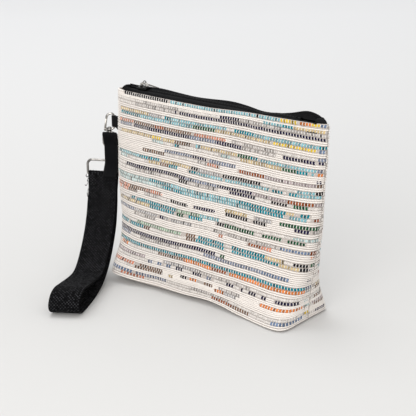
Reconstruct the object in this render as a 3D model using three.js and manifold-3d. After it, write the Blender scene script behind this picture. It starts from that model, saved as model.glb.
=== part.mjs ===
// A zipped wristlet pouch: a wedge of woven cloth with a boxed base, lined, closed by a
// moulded-tooth zip, with a webbing wrist strap hung from a side tab by a swivel snap hook.
// Sizes are millimetres. X runs along the zip, -Y is the front, Z is up, and the origin is
// the middle of the base where the pouch stands.
import * as THREE from "three";
import { mergeVertices } from "three/addons/utils/BufferGeometryUtils.js";
import Module from "manifold-3d";

const wasm = await Module();
wasm.setup();

// Fits
const CLEAR = 0.3; // left between pieces that touch
const OVERSHOOT = 20; // how far a cutting tool runs past what it cuts

// Pouch body
const POUCH_WIDTH = 225; // along the top edge, seam to seam
const POUCH_HEIGHT = 169; // floor to the cloth's top edge
const BASE_DEPTH = 62; // across the boxed base
const MOUTH_DEPTH = 18.5; // across the top edges at mid length
const TOP_SAG = 1.5; // dip of the top edge at mid length
const CLOTH = 1.2; // outer cloth
const LINING = 0.5; // lining cloth
const BASE_ROUND = 3; // radius where the walls turn under
const BASE_SEAM_SHIFT = 3; // base seam behind the middle
const WEDGE_POWER = 1.55; // how the depth tapers upwards, 1 is straight
const WIDTH_LOSS = 0.82; // width given up for each unit of half depth
const BASE_SQUARENESS = 9.5; // superellipse powers of the level sections
const WAIST_SQUARENESS = 3.3;
const MOUTH_SQUARENESS = 2.7;
const CORNER_FADE = 0.09; // share of the height in which the base corners soften
const WALL_ROWS = 9;
const WALL_COLUMNS = 32; // along one panel, seam to seam
const ARC_SAMPLES = 240; // points that measure a section's girth

// Zip
const ZIP_RISE = 2.2; // chain's middle above the cloth's top edge
const TAPE = 0.7; // zip tape
const TAPE_HEM = 9; // tape sewn down inside the top edge
const TAPE_END = 11; // tape stops this far from each side seam
const TAPE_SHOULDER = 5.2; // half width of the flat top of the tapes
const TAPE_STATIONS = 18;
const TOOTH_PITCH = 3; // along one row
const TOOTH_WIDTH = 1.2; // along the zip
const CHAIN_HEIGHT = 1.8;
const CHAIN_HALF = 2.3; // middle to the back of a tooth row
const TOOTH_ROOT = 1.3; // middle to where the teeth leave their bead
const STOP_LENGTH = 3;
const END_TAB_REACH = 1.8; // end tab stops this far from the side seam
const END_TAB_RISE = 1.3; // over the chain's middle
const END_TAB_FALL = 2.2; // its outer end lies this much lower
const END_TAB_ROOT = 7; // depth inside the mouth

// Slider and pull
const SLIDER_FROM_SEAM = 34.5; // slider's middle at rest, from the left seam
const SLIDER_LENGTH = 10;
const SLIDER_HALF = 4.2; // half width at the mouth end
const SLIDER_TAIL_HALF = 3.6; // half width at the closed end
const SLIDER_PLATE = 1.2;
const SLIDER_EASE = 0.8; // corner taken off the plates
const WEDGE_LENGTH = 2.6; // post that parts the teeth
const WEDGE_WIDTH = 1.8;
const CROWN_LENGTH = 8; // bridge that holds the pull
const CROWN_LEG = 1.4;
const CROWN_WIDTH = 2.2;
const CROWN_BAR = 1.2;
const PULL_RING = 2.2; // radius of the pull's link, at the wire's middle
const PULL_WIRE = 0.5;
const PULL_LENGTH = 20; // from the crown's bar
const PULL_WIDTH = 5;
const PULL_PLATE = 1;
const PULL_DROOP = 24; // degrees below level, to the back
const PULL_HOLE = 1.1; // radius of the hole at the pull's end

// Side tab
const TAB_DROP = 36.5; // its lower edge under the pouch's top
const TAB_HEIGHT = 9.7;
const TAB_TAPE = 0.8;
const TAB_REACH = 3.8; // seam to the middle of the hook's limb

// Swivel snap hook
const HOOK_TURN = 40; // degrees about the upright
const HOOK_WIRE = 1; // radius of the claw
const LIMB_OFFSET = 4.2; // swivel axis to the limb in the tab
const LIMB_SEAT = 1.4; // limb's straight starts this far under the tab
const ARCH_CORNER = 2.4; // radius where the limb turns over
const ARCH_WIDE = 4.2; // half axes of the arch towards the gate
const ARCH_HIGH = 4.2;
const HUB_HEIGHT = 2.4;
const HUB_RADIUS = 2.3;
const STEM_RADIUS = 1;
const HEAD_RADIUS = 1.8;
const HEAD_HEIGHT = 0.7;
const GATE_THICK = 1.6; // seen from the side
const GATE_DEEP = 1.8; // through the hook
const GATE_EYE = 1.4;
const PIN_RADIUS = 0.5;
const PIVOT_OUT = 3.5; // gate pin from the swivel axis
const PIVOT_DOWN = 0.9; // gate pin under the hub's top
const CHEEK = 0.8;

// Swivel eye
const EYE_WIRE = 0.85;
const EYE_HALF = 7.25; // axis to the middle of a side
const EYE_SHOULDER = 5.2; // under the hub's top
const EYE_DROP = 16.7; // hub's top to the middle of the lower bar
const EYE_CORNER = 3;
const COLLAR_RADIUS = 1.7;
const COLLAR_HEIGHT = 2;

// Ribbon loop, ring and strap, in a plane turned to face the viewer
const STRAP_TURN = 25; // degrees about the upright
const RIBBON_WIDTH = 12.2;
const RIBBON = 0.6;
const RIBBON_SHIFT = 0.05; // ribbon's middle, sideways from the swivel axis
const RIBBON_HEAD = 13.2; // above the eye's lower bar
const RIBBON_FOOT = 12; // under the ring's upper bar
const RIBBON_HEAD_CURL = 6.5; // how far the ends lean forward
const RIBBON_FOOT_CURL = 9;
const CURL_POWER = 1.3;
const BAR_SPACING = 13.4; // eye's lower bar to the ring's upper bar
const RING_WIRE = 1.15;
const RING_HEIGHT = 13.2; // bar to bar, at the wire's middle
const RING_CORNER = 3; // upper bends
const RING_FOOT_CORNER = 1.4; // lower bends, outside the strap
const RING_SHIFT = -7.63; // strap's middle in the ring, sideways from the swivel axis
const RING_SPARE = 1.1; // room in the ring beside the strap
const STRAP_WIDTH = 25.4;
const STRAP = 1.5; // webbing
const STRAP_SEWN = 14; // both layers sewn together under the ring
const STRAP_LEAN = 2.8; // how far forward the sewn end hangs
const STRAP_REACH = 121.5; // ring to the tip of the fold on the floor
const STRAP_STEPS = 72;
const FOLD_STEPS = 6;
// The open loop's line, down, out to the tip and back: shares of the reach and of the ring's height
const STRAP_LINE = [
  [0.06, 0.74], [0.1, 0.6], [0.17, 0.45], [0.28, 0.29], [0.4, 0.175], [0.52, 0.15],
  [0.75, 0.19], [0.87, 0.21], [0.96, 0.175], [1, 0.09], [0.96, 0.02], [0.86, 0.003],
  [0.66, 0.005], [0.43, 0.06], [0.25, 0.21], [0.1, 0.45], [0.04, 0.66],
];

const WIRE_SIDES = 8;
const BEND_STEPS = 5;

const FRONT = -1;
const BACK = 1;

// Levels and places that several pieces share
const chainZ = POUCH_HEIGHT + ZIP_RISE;
const chainTop = CHAIN_HEIGHT / 2;
const cavityHalf = chainTop + CLEAR;
const sliderTop = cavityHalf + SLIDER_PLATE;
const sliderX = SLIDER_FROM_SEAM - POUCH_WIDTH / 2;
const zipEnd = POUCH_WIDTH / 2 - TAPE_END;
const stopInner = -sliderX + SLIDER_LENGTH / 2 + CLEAR;
const pullClear = Math.hypot(CROWN_BAR / 2, CROWN_WIDTH / 2) + CLEAR;
const pullOffset = PULL_RING - PULL_WIRE - pullClear;
const tabBottom = POUCH_HEIGHT - TAB_DROP;
const hubZ = tabBottom - LIMB_SEAT;
const eyeBarZ = hubZ - EYE_DROP;
const ringTopZ = eyeBarZ - BAR_SPACING;
const ringFootZ = ringTopZ - RING_HEIGHT;
const ringHalf = (STRAP_WIDTH + RING_SPARE) / 2 + CLEAR + RING_WIRE;

const asRadians = THREE.MathUtils.degToRad;
const pullSag = pullOffset * Math.sin(asRadians(PULL_DROOP));
const crownTunnel = pullSag + PULL_RING + PULL_WIRE + CLEAR;

// Pouch sections

function halfDepth(share) {
  const spare = (BASE_DEPTH - MOUTH_DEPTH) / 2;
  return MOUTH_DEPTH / 2 + spare * Math.pow(1 - share, WEDGE_POWER);
}

function halfWidth(share) {
  return POUCH_WIDTH / 2 - WIDTH_LOSS * (halfDepth(share) - MOUTH_DEPTH / 2);
}

function squareness(share) {
  const wall = MOUTH_SQUARENESS + (WAIST_SQUARENESS - MOUTH_SQUARENESS) * (1 - share);
  return wall + (BASE_SQUARENESS - WAIST_SQUARENESS) * Math.exp(-share / CORNER_FADE);
}

// Half depth of the mouth at a place along the zip, at an inset from the cloth's outside.
function mouthHalf(x, inset) {
  const along = Math.pow(Math.abs(x) / (POUCH_WIDTH / 2 - inset), MOUTH_SQUARENESS);
  return (MOUTH_DEPTH / 2 - inset) * Math.pow(1 - along, 1 / MOUTH_SQUARENESS);
}

function sagAt(x, share) {
  const along = (2 * x) / POUCH_WIDTH;
  return TOP_SAG * share * share * Math.max(0, 1 - along * along);
}

// The front half of a level section from the left seam to the right, in equal steps of cloth.
function frontArc(share, inset) {
  const power = 2 / squareness(share);
  const wide = halfWidth(share) - inset;
  const deep = halfDepth(share) - inset;
  const fine = [];
  for (let i = 0; i <= ARC_SAMPLES; i++) {
    const angle = Math.PI * (i / ARC_SAMPLES);
    const across = Math.cos(angle);
    const x = -Math.sign(across) * Math.pow(Math.abs(across), power) * wide;
    fine.push(new THREE.Vector2(x, -deep * Math.pow(Math.abs(Math.sin(angle)), power)));
  }
  const run = [0];
  for (let i = 1; i <= ARC_SAMPLES; i++) run.push(run[i - 1] + fine[i].distanceTo(fine[i - 1]));
  const arc = [];
  let at = 0;
  for (let i = 0; i <= WALL_COLUMNS; i++) {
    const want = (run[ARC_SAMPLES] * i) / WALL_COLUMNS;
    while (at < ARC_SAMPLES - 1 && run[at + 1] < want) at++;
    const part = (want - run[at]) / (run[at + 1] - run[at]);
    arc.push(fine[at].clone().lerp(fine[at + 1], part));
  }
  return arc;
}

// A closed level loop: the front half, then its mirror image.
function levelLoop(z, inset) {
  const share = Math.min(1, Math.max(0, z / POUCH_HEIGHT));
  const front = frontArc(share, inset);
  const back = front.slice(1, WALL_COLUMNS).reverse();
  const loop = front.concat(back.map((p) => new THREE.Vector2(p.x, -p.y)));
  return loop.map((p) => new THREE.Vector3(p.x, p.y, z - sagAt(p.x, share)));
}

// A solid that fills the pouch to a given inset from its outside, and may run past its top.
function pouchSolid(inset, over) {
  const round = Math.max(BASE_ROUND - inset, CLEAR);
  const loops = [];
  for (let i = 0; i < 2; i++) {
    const turn = (i * Math.PI) / 4;
    const pulledIn = round * (1 - Math.sin(turn));
    loops.push(levelLoop(inset + round * (1 - Math.cos(turn)), inset + pulledIn));
  }
  const low = inset + round;
  for (let i = 0; i <= WALL_ROWS; i++) {
    loops.push(levelLoop(low + ((POUCH_HEIGHT - low) * i) / WALL_ROWS, inset));
  }
  if (over) loops.push(levelLoop(POUCH_HEIGHT + over, inset));
  return solidOf(loftGeometry(loops));
}

// Geometry helpers

// Skin over closed loops of equal count, with end caps that join each loop's two halves.
function loftGeometry(loops) {
  const count = loops[0].length;
  const half = count / 2;
  const index = [];
  for (let r = 0; r < loops.length - 1; r++) {
    for (let i = 0; i < count; i++) {
      const a = r * count + i;
      const b = r * count + ((i + 1) % count);
      index.push(a, b, b + count, a, b + count, a + count);
    }
  }
  const last = (loops.length - 1) * count;
  for (let i = 0; i < half; i++) {
    const quad = [i, i + 1, (count - i - 1) % count, (count - i) % count];
    for (const corner of [[0, 2, 1], [0, 3, 2]]) {
      const face = corner.map((c) => quad[c]);
      if (new Set(face).size < 3) continue;
      index.push(...face);
      index.push(...face.reverse().map((v) => v + last));
    }
  }
  return new THREE.BufferGeometry().setFromPoints(loops.flat()).setIndex(index);
}

// Closed wire along a closed run of points in the XZ plane.
function wireLoop(points, radius) {
  const rings = points.map((p, i) => {
    const before = points[(i + points.length - 1) % points.length];
    const after = points[(i + 1) % points.length];
    const out = after.clone().sub(before).normalize();
    return Array.from({ length: WIRE_SIDES }, (_, s) => {
      const angle = (2 * Math.PI * s) / WIRE_SIDES;
      const side = radius * Math.cos(angle);
      return new THREE.Vector3(p.x - out.y * side, radius * Math.sin(angle), p.y + out.x * side);
    });
  });
  const index = [];
  for (let r = 0; r < rings.length; r++) {
    const here = r * WIRE_SIDES;
    const next = ((r + 1) % rings.length) * WIRE_SIDES;
    for (let s = 0; s < WIRE_SIDES; s++) {
      const t = (s + 1) % WIRE_SIDES;
      index.push(here + s, next + t, here + t, here + s, next + s, next + t);
    }
  }
  return new THREE.BufferGeometry().setFromPoints(rings.flat()).setIndex(index);
}

// Open wire along a curve.
function wireAlong(curve, radius, steps) {
  const round = new THREE.Shape();
  for (let s = 0; s < WIRE_SIDES; s++) {
    const angle = (2 * Math.PI * s) / WIRE_SIDES;
    const place = [radius * Math.cos(angle), radius * Math.sin(angle)];
    if (s) round.lineTo(...place);
    else round.moveTo(...place);
  }
  return new THREE.ExtrudeGeometry(round, { steps, extrudePath: curve, bevelEnabled: false });
}

function extruded(shape, depth) {
  return new THREE.ExtrudeGeometry(shape, { depth, bevelEnabled: false, curveSegments: BEND_STEPS });
}

// An outline drawn in Y and Z, run along X from its start.
function alongX(shape, start, length) {
  const turn = new THREE.Matrix4().makeBasis(
    new THREE.Vector3(0, 1, 0),
    new THREE.Vector3(0, 0, 1),
    new THREE.Vector3(1, 0, 0),
  );
  return extruded(shape, length).applyMatrix4(turn).translate(start, 0, 0);
}

// An outline drawn in X and Z, run along Y and centred on it.
function acrossY(shape, depth) {
  const geometry = extruded(shape, depth).translate(0, 0, -depth / 2);
  return geometry.rotateX(Math.PI / 2);
}

function polygon(points) {
  return new THREE.Shape(points.map((p) => new THREE.Vector2(p[0], p[1])));
}

function circle(x, y, radius) {
  return new THREE.Shape().absarc(x, y, radius, 0, 2 * Math.PI, false);
}

function cylinderZ(radius, bottom, top) {
  const height = top - bottom;
  const geometry = new THREE.CylinderGeometry(radius, radius, height, 2 * WIRE_SIDES);
  return geometry.rotateX(Math.PI / 2).translate(0, 0, (bottom + top) / 2);
}

function box(x0, x1, y0, y1, z0, z1) {
  const geometry = new THREE.BoxGeometry(x1 - x0, y1 - y0, z1 - z0);
  return geometry.translate((x0 + x1) / 2, (y0 + y1) / 2, (z0 + z1) / 2);
}

function solidOf(geometry) {
  const bare = geometry.clone();
  bare.deleteAttribute("normal");
  bare.deleteAttribute("uv");
  const merged = mergeVertices(bare, 1e-4);
  const vertProperties = new Float32Array(merged.attributes.position.array);
  const triVerts = new Uint32Array(merged.index.array);
  return new wasm.Manifold(new wasm.Mesh({ numProp: 3, vertProperties, triVerts }));
}

function geometryOf(solid) {
  const mesh = solid.getMesh();
  const geometry = new THREE.BufferGeometry();
  const position = new THREE.BufferAttribute(new Float32Array(mesh.vertProperties), 3);
  geometry.setAttribute("position", position);
  return geometry.setIndex(new THREE.BufferAttribute(new Uint32Array(mesh.triVerts), 1));
}

function joined(...geometries) {
  return geometries.map(solidOf).reduce((whole, more) => whole.add(more));
}

// Cloth and lining

// Tool that keeps the front or the back of the pouch, split at the side and base seams.
function seamTool(side, top) {
  const far = side * (BASE_DEPTH + OVERSHOOT);
  const wall = (side * CLEAR) / 2;
  const base = BASE_SEAM_SHIFT + wall;
  const step = BASE_ROUND + CLOTH;
  const line = [[far, -OVERSHOOT], [base, -OVERSHOOT], [base, step], [wall, step], [wall, top], [far, top]];
  const reach = POUCH_WIDTH / 2 + OVERSHOOT;
  return solidOf(alongX(polygon(side > 0 ? line.reverse() : line), -reach, 2 * reach));
}

function tabSeat() {
  const seam = halfWidth((tabBottom + TAB_HEIGHT / 2) / POUCH_HEIGHT);
  return { seam, limbX: -seam - TAB_REACH };
}

function tabSlot() {
  const half = TAB_TAPE + CLEAR;
  const { seam } = tabSeat();
  const low = tabBottom - CLEAR;
  const high = tabBottom + TAB_HEIGHT + CLEAR;
  return solidOf(box(-seam - OVERSHOOT, -seam + OVERSHOOT, -half, half, low, high));
}

function clothWalls() {
  const outside = pouchSolid(0, 0);
  const inside = pouchSolid(CLOTH, OVERSHOOT);
  return outside.subtract(inside).subtract(tabSlot());
}

function liningWalls() {
  const skin = CLOTH + CLEAR;
  const outside = pouchSolid(skin, OVERSHOOT);
  const inside = pouchSolid(skin + LINING, 2 * OVERSHOOT);
  return outside.subtract(inside);
}

// Zip

// One tape: sewn down inside the top edge, over a rounded shoulder, flat to the chain.
function zipTape(side) {
  const loops = [];
  for (let i = 0; i <= TAPE_STATIONS; i++) {
    const x = -zipEnd + (2 * zipEnd * i) / TAPE_STATIONS;
    const wall = mouthHalf(x, CLOTH + CLEAR);
    const edge = POUCH_HEIGHT - sagAt(x, 1);
    const low = edge - TAPE_HEM;
    const flat = CHAIN_HALF + CLEAR;
    const shoulder = Math.max(TAPE_SHOULDER, wall - TAPE_HEM / 4);
    const outer = [[wall, low], [wall, edge], [shoulder, chainZ + TAPE / 2], [flat, chainZ + TAPE / 2]];
    const bend = chainZ - TAPE / 2;
    const inner = [[flat, bend], [shoulder - TAPE / 2, bend], [wall - TAPE, edge - TAPE], [wall - TAPE, low]];
    const loop = outer.concat(inner).map((p) => new THREE.Vector3(x, side * p[0], p[1]));
    loops.push(side > 0 ? loop : loop.reverse());
  }
  return loftGeometry(loops);
}

// One row of moulded teeth on its bead; the other row meshes half a pitch along.
function zipTeeth(side) {
  const start = sliderX;
  const end = stopInner - CLEAR;
  const shift = side > 0 ? TOOTH_PITCH / 2 : 0;
  const tip = -(TOOTH_ROOT - CLEAR);
  const line = [[start, CHAIN_HALF], [start, TOOTH_ROOT]];
  const first = start + TOOTH_WIDTH / 2 + CLEAR + shift;
  for (let x = first; x + TOOTH_WIDTH < end; x += TOOTH_PITCH) {
    line.push([x, TOOTH_ROOT], [x, tip], [x + TOOTH_WIDTH, tip], [x + TOOTH_WIDTH, TOOTH_ROOT]);
  }
  line.push([end, TOOTH_ROOT], [end, CHAIN_HALF]);
  const placed = line.map((p) => [p[0], side * p[1]]);
  const row = extruded(polygon(placed), CHAIN_HEIGHT);
  return row.translate(0, 0, chainZ - chainTop);
}

// Moulded stop at the end of the chain.
function zipStop(side) {
  const near = side * stopInner;
  const far = near + side * STOP_LENGTH;
  const half = CHAIN_HALF;
  const thick = chainTop;
  return box(Math.min(near, far), Math.max(near, far), -half, half, chainZ - thick, chainZ + thick);
}

// Folded tape that closes one end of the mouth, trimmed to the cloth around it.
function zipEndTab(side) {
  const near = zipEnd + CLEAR;
  const far = POUCH_WIDTH / 2 - END_TAB_REACH;
  const top = chainZ + END_TAB_RISE;
  const low = POUCH_HEIGHT - END_TAB_ROOT;
  const crest = (near + far) / 2;
  const line = [[near, low], [far, low], [far, top - END_TAB_FALL], [crest, top], [near, top]];
  const placed = line.map((p) => [side * p[0], p[1]]);
  const block = solidOf(acrossY(polygon(placed), MOUTH_DEPTH));
  return geometryOf(block.intersect(pouchSolid(CLOTH + CLEAR, OVERSHOOT)));
}

// Slider

// Upper or lower half of the slider's channel: a plate with a lip at each side.
function sliderPlate(side) {
  const wide = SLIDER_HALF;
  const slot = TAPE / 2 + CLEAR;
  const bead = CHAIN_HALF + CLEAR;
  const eased = wide - SLIDER_EASE;
  const half = [[bead, cavityHalf], [bead, slot], [wide, slot]];
  half.push([wide, sliderTop - SLIDER_EASE], [eased, sliderTop]);
  const mirrored = half.map((p) => [-p[0], p[1]]).reverse();
  const line = half.concat(mirrored).map((p) => [p[0], side * p[1]]);
  return alongX(polygon(line), -SLIDER_LENGTH / 2, SLIDER_LENGTH);
}

// Plan of the slider: wide shoulders where the rows part, narrower where they leave meshed.
function sliderPlan() {
  const half = SLIDER_LENGTH / 2;
  const plan = new THREE.Shape();
  plan.moveTo(-half, -SLIDER_HALF / 2);
  plan.quadraticCurveTo(-half, -SLIDER_HALF, -half / 2, -SLIDER_HALF);
  plan.lineTo(half - SLIDER_EASE, -SLIDER_TAIL_HALF);
  plan.quadraticCurveTo(half, -SLIDER_TAIL_HALF, half, -SLIDER_TAIL_HALF / 2);
  plan.lineTo(half, SLIDER_TAIL_HALF / 2);
  plan.quadraticCurveTo(half, SLIDER_TAIL_HALF, half - SLIDER_EASE, SLIDER_TAIL_HALF);
  plan.lineTo(-half / 2, SLIDER_HALF);
  plan.quadraticCurveTo(-half, SLIDER_HALF, -half, SLIDER_HALF / 2);
  return extruded(plan, 2 * OVERSHOOT).translate(0, 0, -OVERSHOOT);
}

// Bridge over the slider's top, with the tunnel that the pull's link runs through.
function sliderCrown() {
  const half = CROWN_LENGTH / 2;
  const rise = crownTunnel + CROWN_BAR / 2;
  const inner = half - CROWN_LEG;
  const under = crownTunnel - CROWN_BAR / 2;
  const sink = SLIDER_PLATE / 2;
  const line = [[-half, -sink], [-inner, -sink], [-inner, under], [inner, under]];
  line.push([inner, -sink], [half, -sink]);
  line.push([half, under], [inner, rise], [-inner, rise], [-half, under]);
  return acrossY(polygon(line), CROWN_WIDTH).translate(0, 0, sliderTop);
}

function zipSlider() {
  const plates = joined(sliderPlate(1), sliderPlate(-1)).intersect(solidOf(sliderPlan()));
  const nose = -SLIDER_LENGTH / 2;
  const half = WEDGE_WIDTH / 2;
  const deep = cavityHalf + SLIDER_PLATE / 2;
  const wedge = solidOf(box(nose, nose + WEDGE_LENGTH, -half, half, -deep, deep));
  return geometryOf(plates.add(wedge).add(solidOf(sliderCrown())));
}

// Pull: a wire link on the crown's bar with a flat plate, drawn along +Y from the bar.
function zipPull() {
  const link = new THREE.TorusGeometry(PULL_RING, PULL_WIRE, WIRE_SIDES, 3 * WIRE_SIDES);
  link.rotateY(Math.PI / 2).translate(0, pullOffset, 0);
  const half = PULL_WIDTH / 2;
  const start = pullOffset + PULL_RING - PULL_WIRE / 2;
  const round = PULL_LENGTH - half;
  const plate = new THREE.Shape();
  plate.moveTo(-half / 2, start);
  plate.lineTo(half / 2, start);
  plate.lineTo(half, start + half);
  plate.lineTo(half, round);
  plate.absarc(0, round, half, 0, Math.PI, false);
  plate.lineTo(-half, start + half);
  plate.holes.push(circle(0, round, PULL_HOLE));
  const flat = extruded(plate, PULL_PLATE).translate(0, 0, -PULL_PLATE / 2);
  return geometryOf(joined(link, flat));
}

// Side tab: tape folded round the hook's limb and sewn into the side seam.
function sideTab() {
  const { seam, limbX } = tabSeat();
  const bore = HOOK_WIRE + CLEAR;
  const eye = extruded(circle(limbX, 0, bore + TAB_TAPE), TAB_HEIGHT);
  const root = -seam + CLOTH;
  const flat = [[limbX, -TAB_TAPE], [root, -TAB_TAPE], [root, TAB_TAPE], [limbX, TAB_TAPE]];
  const leg = extruded(polygon(flat), TAB_HEIGHT);
  const hole = extruded(circle(limbX, 0, bore), TAB_HEIGHT + 2 * OVERSHOOT).translate(0, 0, -OVERSHOOT);
  const tab = joined(eye, leg).subtract(solidOf(hole));
  return geometryOf(tab).translate(0, 0, tabBottom);
}

// Hook, drawn about the swivel axis with its hub's top at the origin

function bendPoints(x, z, radius, from, to) {
  return Array.from({ length: BEND_STEPS + 1 }, (_, i) => {
    const angle = from + ((to - from) * i) / BEND_STEPS;
    return new THREE.Vector2(x + radius * Math.cos(angle), z + radius * Math.sin(angle));
  });
}

function curveThrough(points) {
  const places = points.map((p) => new THREE.Vector3(p.x, 0, p.y));
  return new THREE.CatmullRomCurve3(places, false, "centripetal");
}

const limbTop = LIMB_SEAT + TAB_HEIGHT - CLEAR;
const archBase = limbTop + ARCH_CORNER - ARCH_HIGH;
const tipX = LIMB_OFFSET - ARCH_CORNER - ARCH_WIDE;

function clawCurve() {
  const foot = new THREE.Vector2(HUB_RADIUS - CLEAR, -HUB_HEIGHT / 2);
  const heel = new THREE.Vector2(LIMB_OFFSET, LIMB_SEAT / 2);
  const middle = new THREE.Vector2(LIMB_OFFSET, (LIMB_SEAT + limbTop) / 2);
  const corner = bendPoints(LIMB_OFFSET - ARCH_CORNER, limbTop, ARCH_CORNER, 0, Math.PI / 2);
  const arch = bendPoints(0, 0, 1, Math.PI / 2, Math.PI).slice(1);
  const top = LIMB_OFFSET - ARCH_CORNER;
  const swept = arch.map((p) => new THREE.Vector2(top + p.x * ARCH_WIDE, archBase + p.y * ARCH_HIGH));
  return curveThrough([foot, heel, middle, ...corner, ...swept]);
}

// One cheek of the fork that holds the gate's pin.
function gateCheek(side) {
  const cheek = new THREE.Shape();
  cheek.absarc(-PIVOT_OUT, -PIVOT_DOWN, GATE_EYE, Math.PI / 2, (3 * Math.PI) / 2, false);
  cheek.lineTo(-(HUB_RADIUS + STEM_RADIUS) / 2, -PIVOT_DOWN - GATE_EYE);
  cheek.lineTo(-(HUB_RADIUS + STEM_RADIUS) / 2, -PIVOT_DOWN / 2);
  cheek.lineTo(-PIVOT_OUT, -PIVOT_DOWN + GATE_EYE);
  cheek.holes.push(circle(-PIVOT_OUT, -PIVOT_DOWN, PIN_RADIUS + CLEAR));
  const place = side * (GATE_DEEP / 2 + CLEAR + CHEEK / 2);
  return acrossY(cheek, CHEEK).translate(0, place, 0);
}

function hookBody() {
  const hub = solidOf(cylinderZ(HUB_RADIUS, -HUB_HEIGHT, 0));
  const claw = solidOf(wireAlong(clawCurve(), HOOK_WIRE, 6 * BEND_STEPS));
  const cheeks = solidOf(gateCheek(1)).add(solidOf(gateCheek(-1)));
  const bore = solidOf(cylinderZ(STEM_RADIUS + CLEAR, -HUB_HEIGHT - OVERSHOOT, CLEAR));
  const deep = GATE_DEEP / 2 + CLEAR;
  const reach = GATE_EYE + CLEAR;
  const eyeRoom = acrossY(circle(-PIVOT_OUT, -PIVOT_DOWN, reach), 2 * deep);
  return geometryOf(hub.add(claw).add(cheeks).subtract(bore).subtract(solidOf(eyeRoom)));
}

// Sprung gate, from its pin to just under the claw's tip.
function hookGate() {
  const half = GATE_THICK / 2;
  const top = archBase - CLEAR;
  const gate = new THREE.Shape();
  gate.moveTo(tipX + half, top);
  gate.lineTo(tipX - half, top);
  gate.lineTo(-PIVOT_OUT - GATE_EYE, -PIVOT_DOWN);
  gate.absarc(-PIVOT_OUT, -PIVOT_DOWN, GATE_EYE, Math.PI, 2 * Math.PI, false);
  gate.lineTo(-PIVOT_OUT + half, GATE_EYE / 2);
  gate.holes.push(circle(-PIVOT_OUT, -PIVOT_DOWN, PIN_RADIUS + CLEAR));
  return acrossY(gate, GATE_DEEP);
}

function gatePin() {
  const length = GATE_DEEP + 2 * (CLEAR + CHEEK);
  const pin = new THREE.CylinderGeometry(PIN_RADIUS, PIN_RADIUS, length, 2 * WIRE_SIDES);
  return pin.translate(-PIVOT_OUT, 0, -PIVOT_DOWN);
}

// Swivel eye: a headed stem through the hub and a wire frame under it.
function swivelEye() {
  const collarTop = -HUB_HEIGHT - CLEAR;
  const collarFoot = collarTop - COLLAR_HEIGHT;
  const stem = cylinderZ(STEM_RADIUS, collarFoot, CLEAR + HEAD_HEIGHT);
  const head = cylinderZ(HEAD_RADIUS, CLEAR, CLEAR + HEAD_HEIGHT);
  const collar = cylinderZ(COLLAR_RADIUS, collarFoot, collarTop);
  const low = -EYE_DROP + EYE_CORNER;
  const inner = EYE_HALF - EYE_CORNER;
  const root = collarFoot + COLLAR_HEIGHT / 2;
  const left = bendPoints(-inner, low, EYE_CORNER, Math.PI, (3 * Math.PI) / 2);
  const right = bendPoints(inner, low, EYE_CORNER, -Math.PI / 2, 0);
  const start = [new THREE.Vector2(0, root), new THREE.Vector2(-EYE_HALF / 2, (root - EYE_SHOULDER) / 2)];
  start.push(new THREE.Vector2(-EYE_HALF, -EYE_SHOULDER - EYE_CORNER));
  const finish = start.map((p) => new THREE.Vector2(-p.x, p.y)).reverse();
  const frame = curveThrough([...start, ...left, ...right, ...finish]);
  return geometryOf(joined(stem, head, collar, wireAlong(frame, EYE_WIRE, 9 * BEND_STEPS)));
}

// Ribbon, ring and strap, drawn about the swivel axis: sideways is X, forward is -Y

// Outline of a strip of even thickness that follows a run of points, with round ends.
function stripOutline(points, half) {
  const count = points.length;
  const normals = points.map((p, i) => {
    const before = points[Math.max(0, i - 1)];
    const after = points[Math.min(count - 1, i + 1)];
    const along = after.clone().sub(before).normalize();
    return new THREE.Vector2(-along.y, along.x).multiplyScalar(half);
  });
  const left = points.map((p, i) => p.clone().add(normals[i]));
  const right = points.map((p, i) => p.clone().sub(normals[i])).reverse();
  const cap = (i) =>
    [1, 2, 3].map((s) => {
      const spun = normals[i].clone().rotateAround(new THREE.Vector2(), (-Math.PI * s) / 4);
      return points[i].clone().add(i ? spun : spun.negate());
    });
  return [...left, ...cap(count - 1), ...right, ...cap(0)].reverse();
}

function ribbonLine() {
  const reach = RING_WIRE + CLEAR;
  const head = eyeBarZ + RIBBON_HEAD;
  const foot = ringTopZ - RIBBON_FOOT;
  const straightTop = eyeBarZ + reach;
  const straightFoot = ringTopZ - reach;
  const line = [];
  for (let i = 0; i <= 2 * BEND_STEPS; i++) {
    const z = foot + ((head - foot) * i) / (2 * BEND_STEPS);
    const over = Math.max(0, (z - straightTop) / (head - straightTop));
    const under = Math.max(0, (straightFoot - z) / (straightFoot - foot));
    const headLean = RIBBON_HEAD_CURL * Math.pow(over, CURL_POWER);
    const footLean = RIBBON_FOOT_CURL * Math.pow(under, CURL_POWER);
    line.push(new THREE.Vector2(-headLean - footLean, z));
  }
  return line;
}

function ribbonLoop() {
  const inside = RING_WIRE + CLEAR;
  const shape = new THREE.Shape(stripOutline(ribbonLine(), inside + RIBBON));
  shape.holes.push(new THREE.Path(stripOutline(ribbonLine(), inside)));
  return alongX(shape, RIBBON_SHIFT - RIBBON_WIDTH / 2, RIBBON_WIDTH);
}

function strapRing() {
  const high = RING_HEIGHT / 2;
  const points = [];
  [[1, 1], [-1, 1], [-1, -1], [1, -1]].forEach(([across, up], i) => {
    const bend = up > 0 ? RING_CORNER : RING_FOOT_CORNER;
    const from = (i * Math.PI) / 2;
    const middle = [across * (ringHalf - bend), up * (high - bend)];
    points.push(...bendPoints(...middle, bend, from, from + Math.PI / 2));
  });
  return wireLoop(points, RING_WIRE).translate(RING_SHIFT + RING_SPARE / 2, 0, ringTopZ - high);
}

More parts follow.
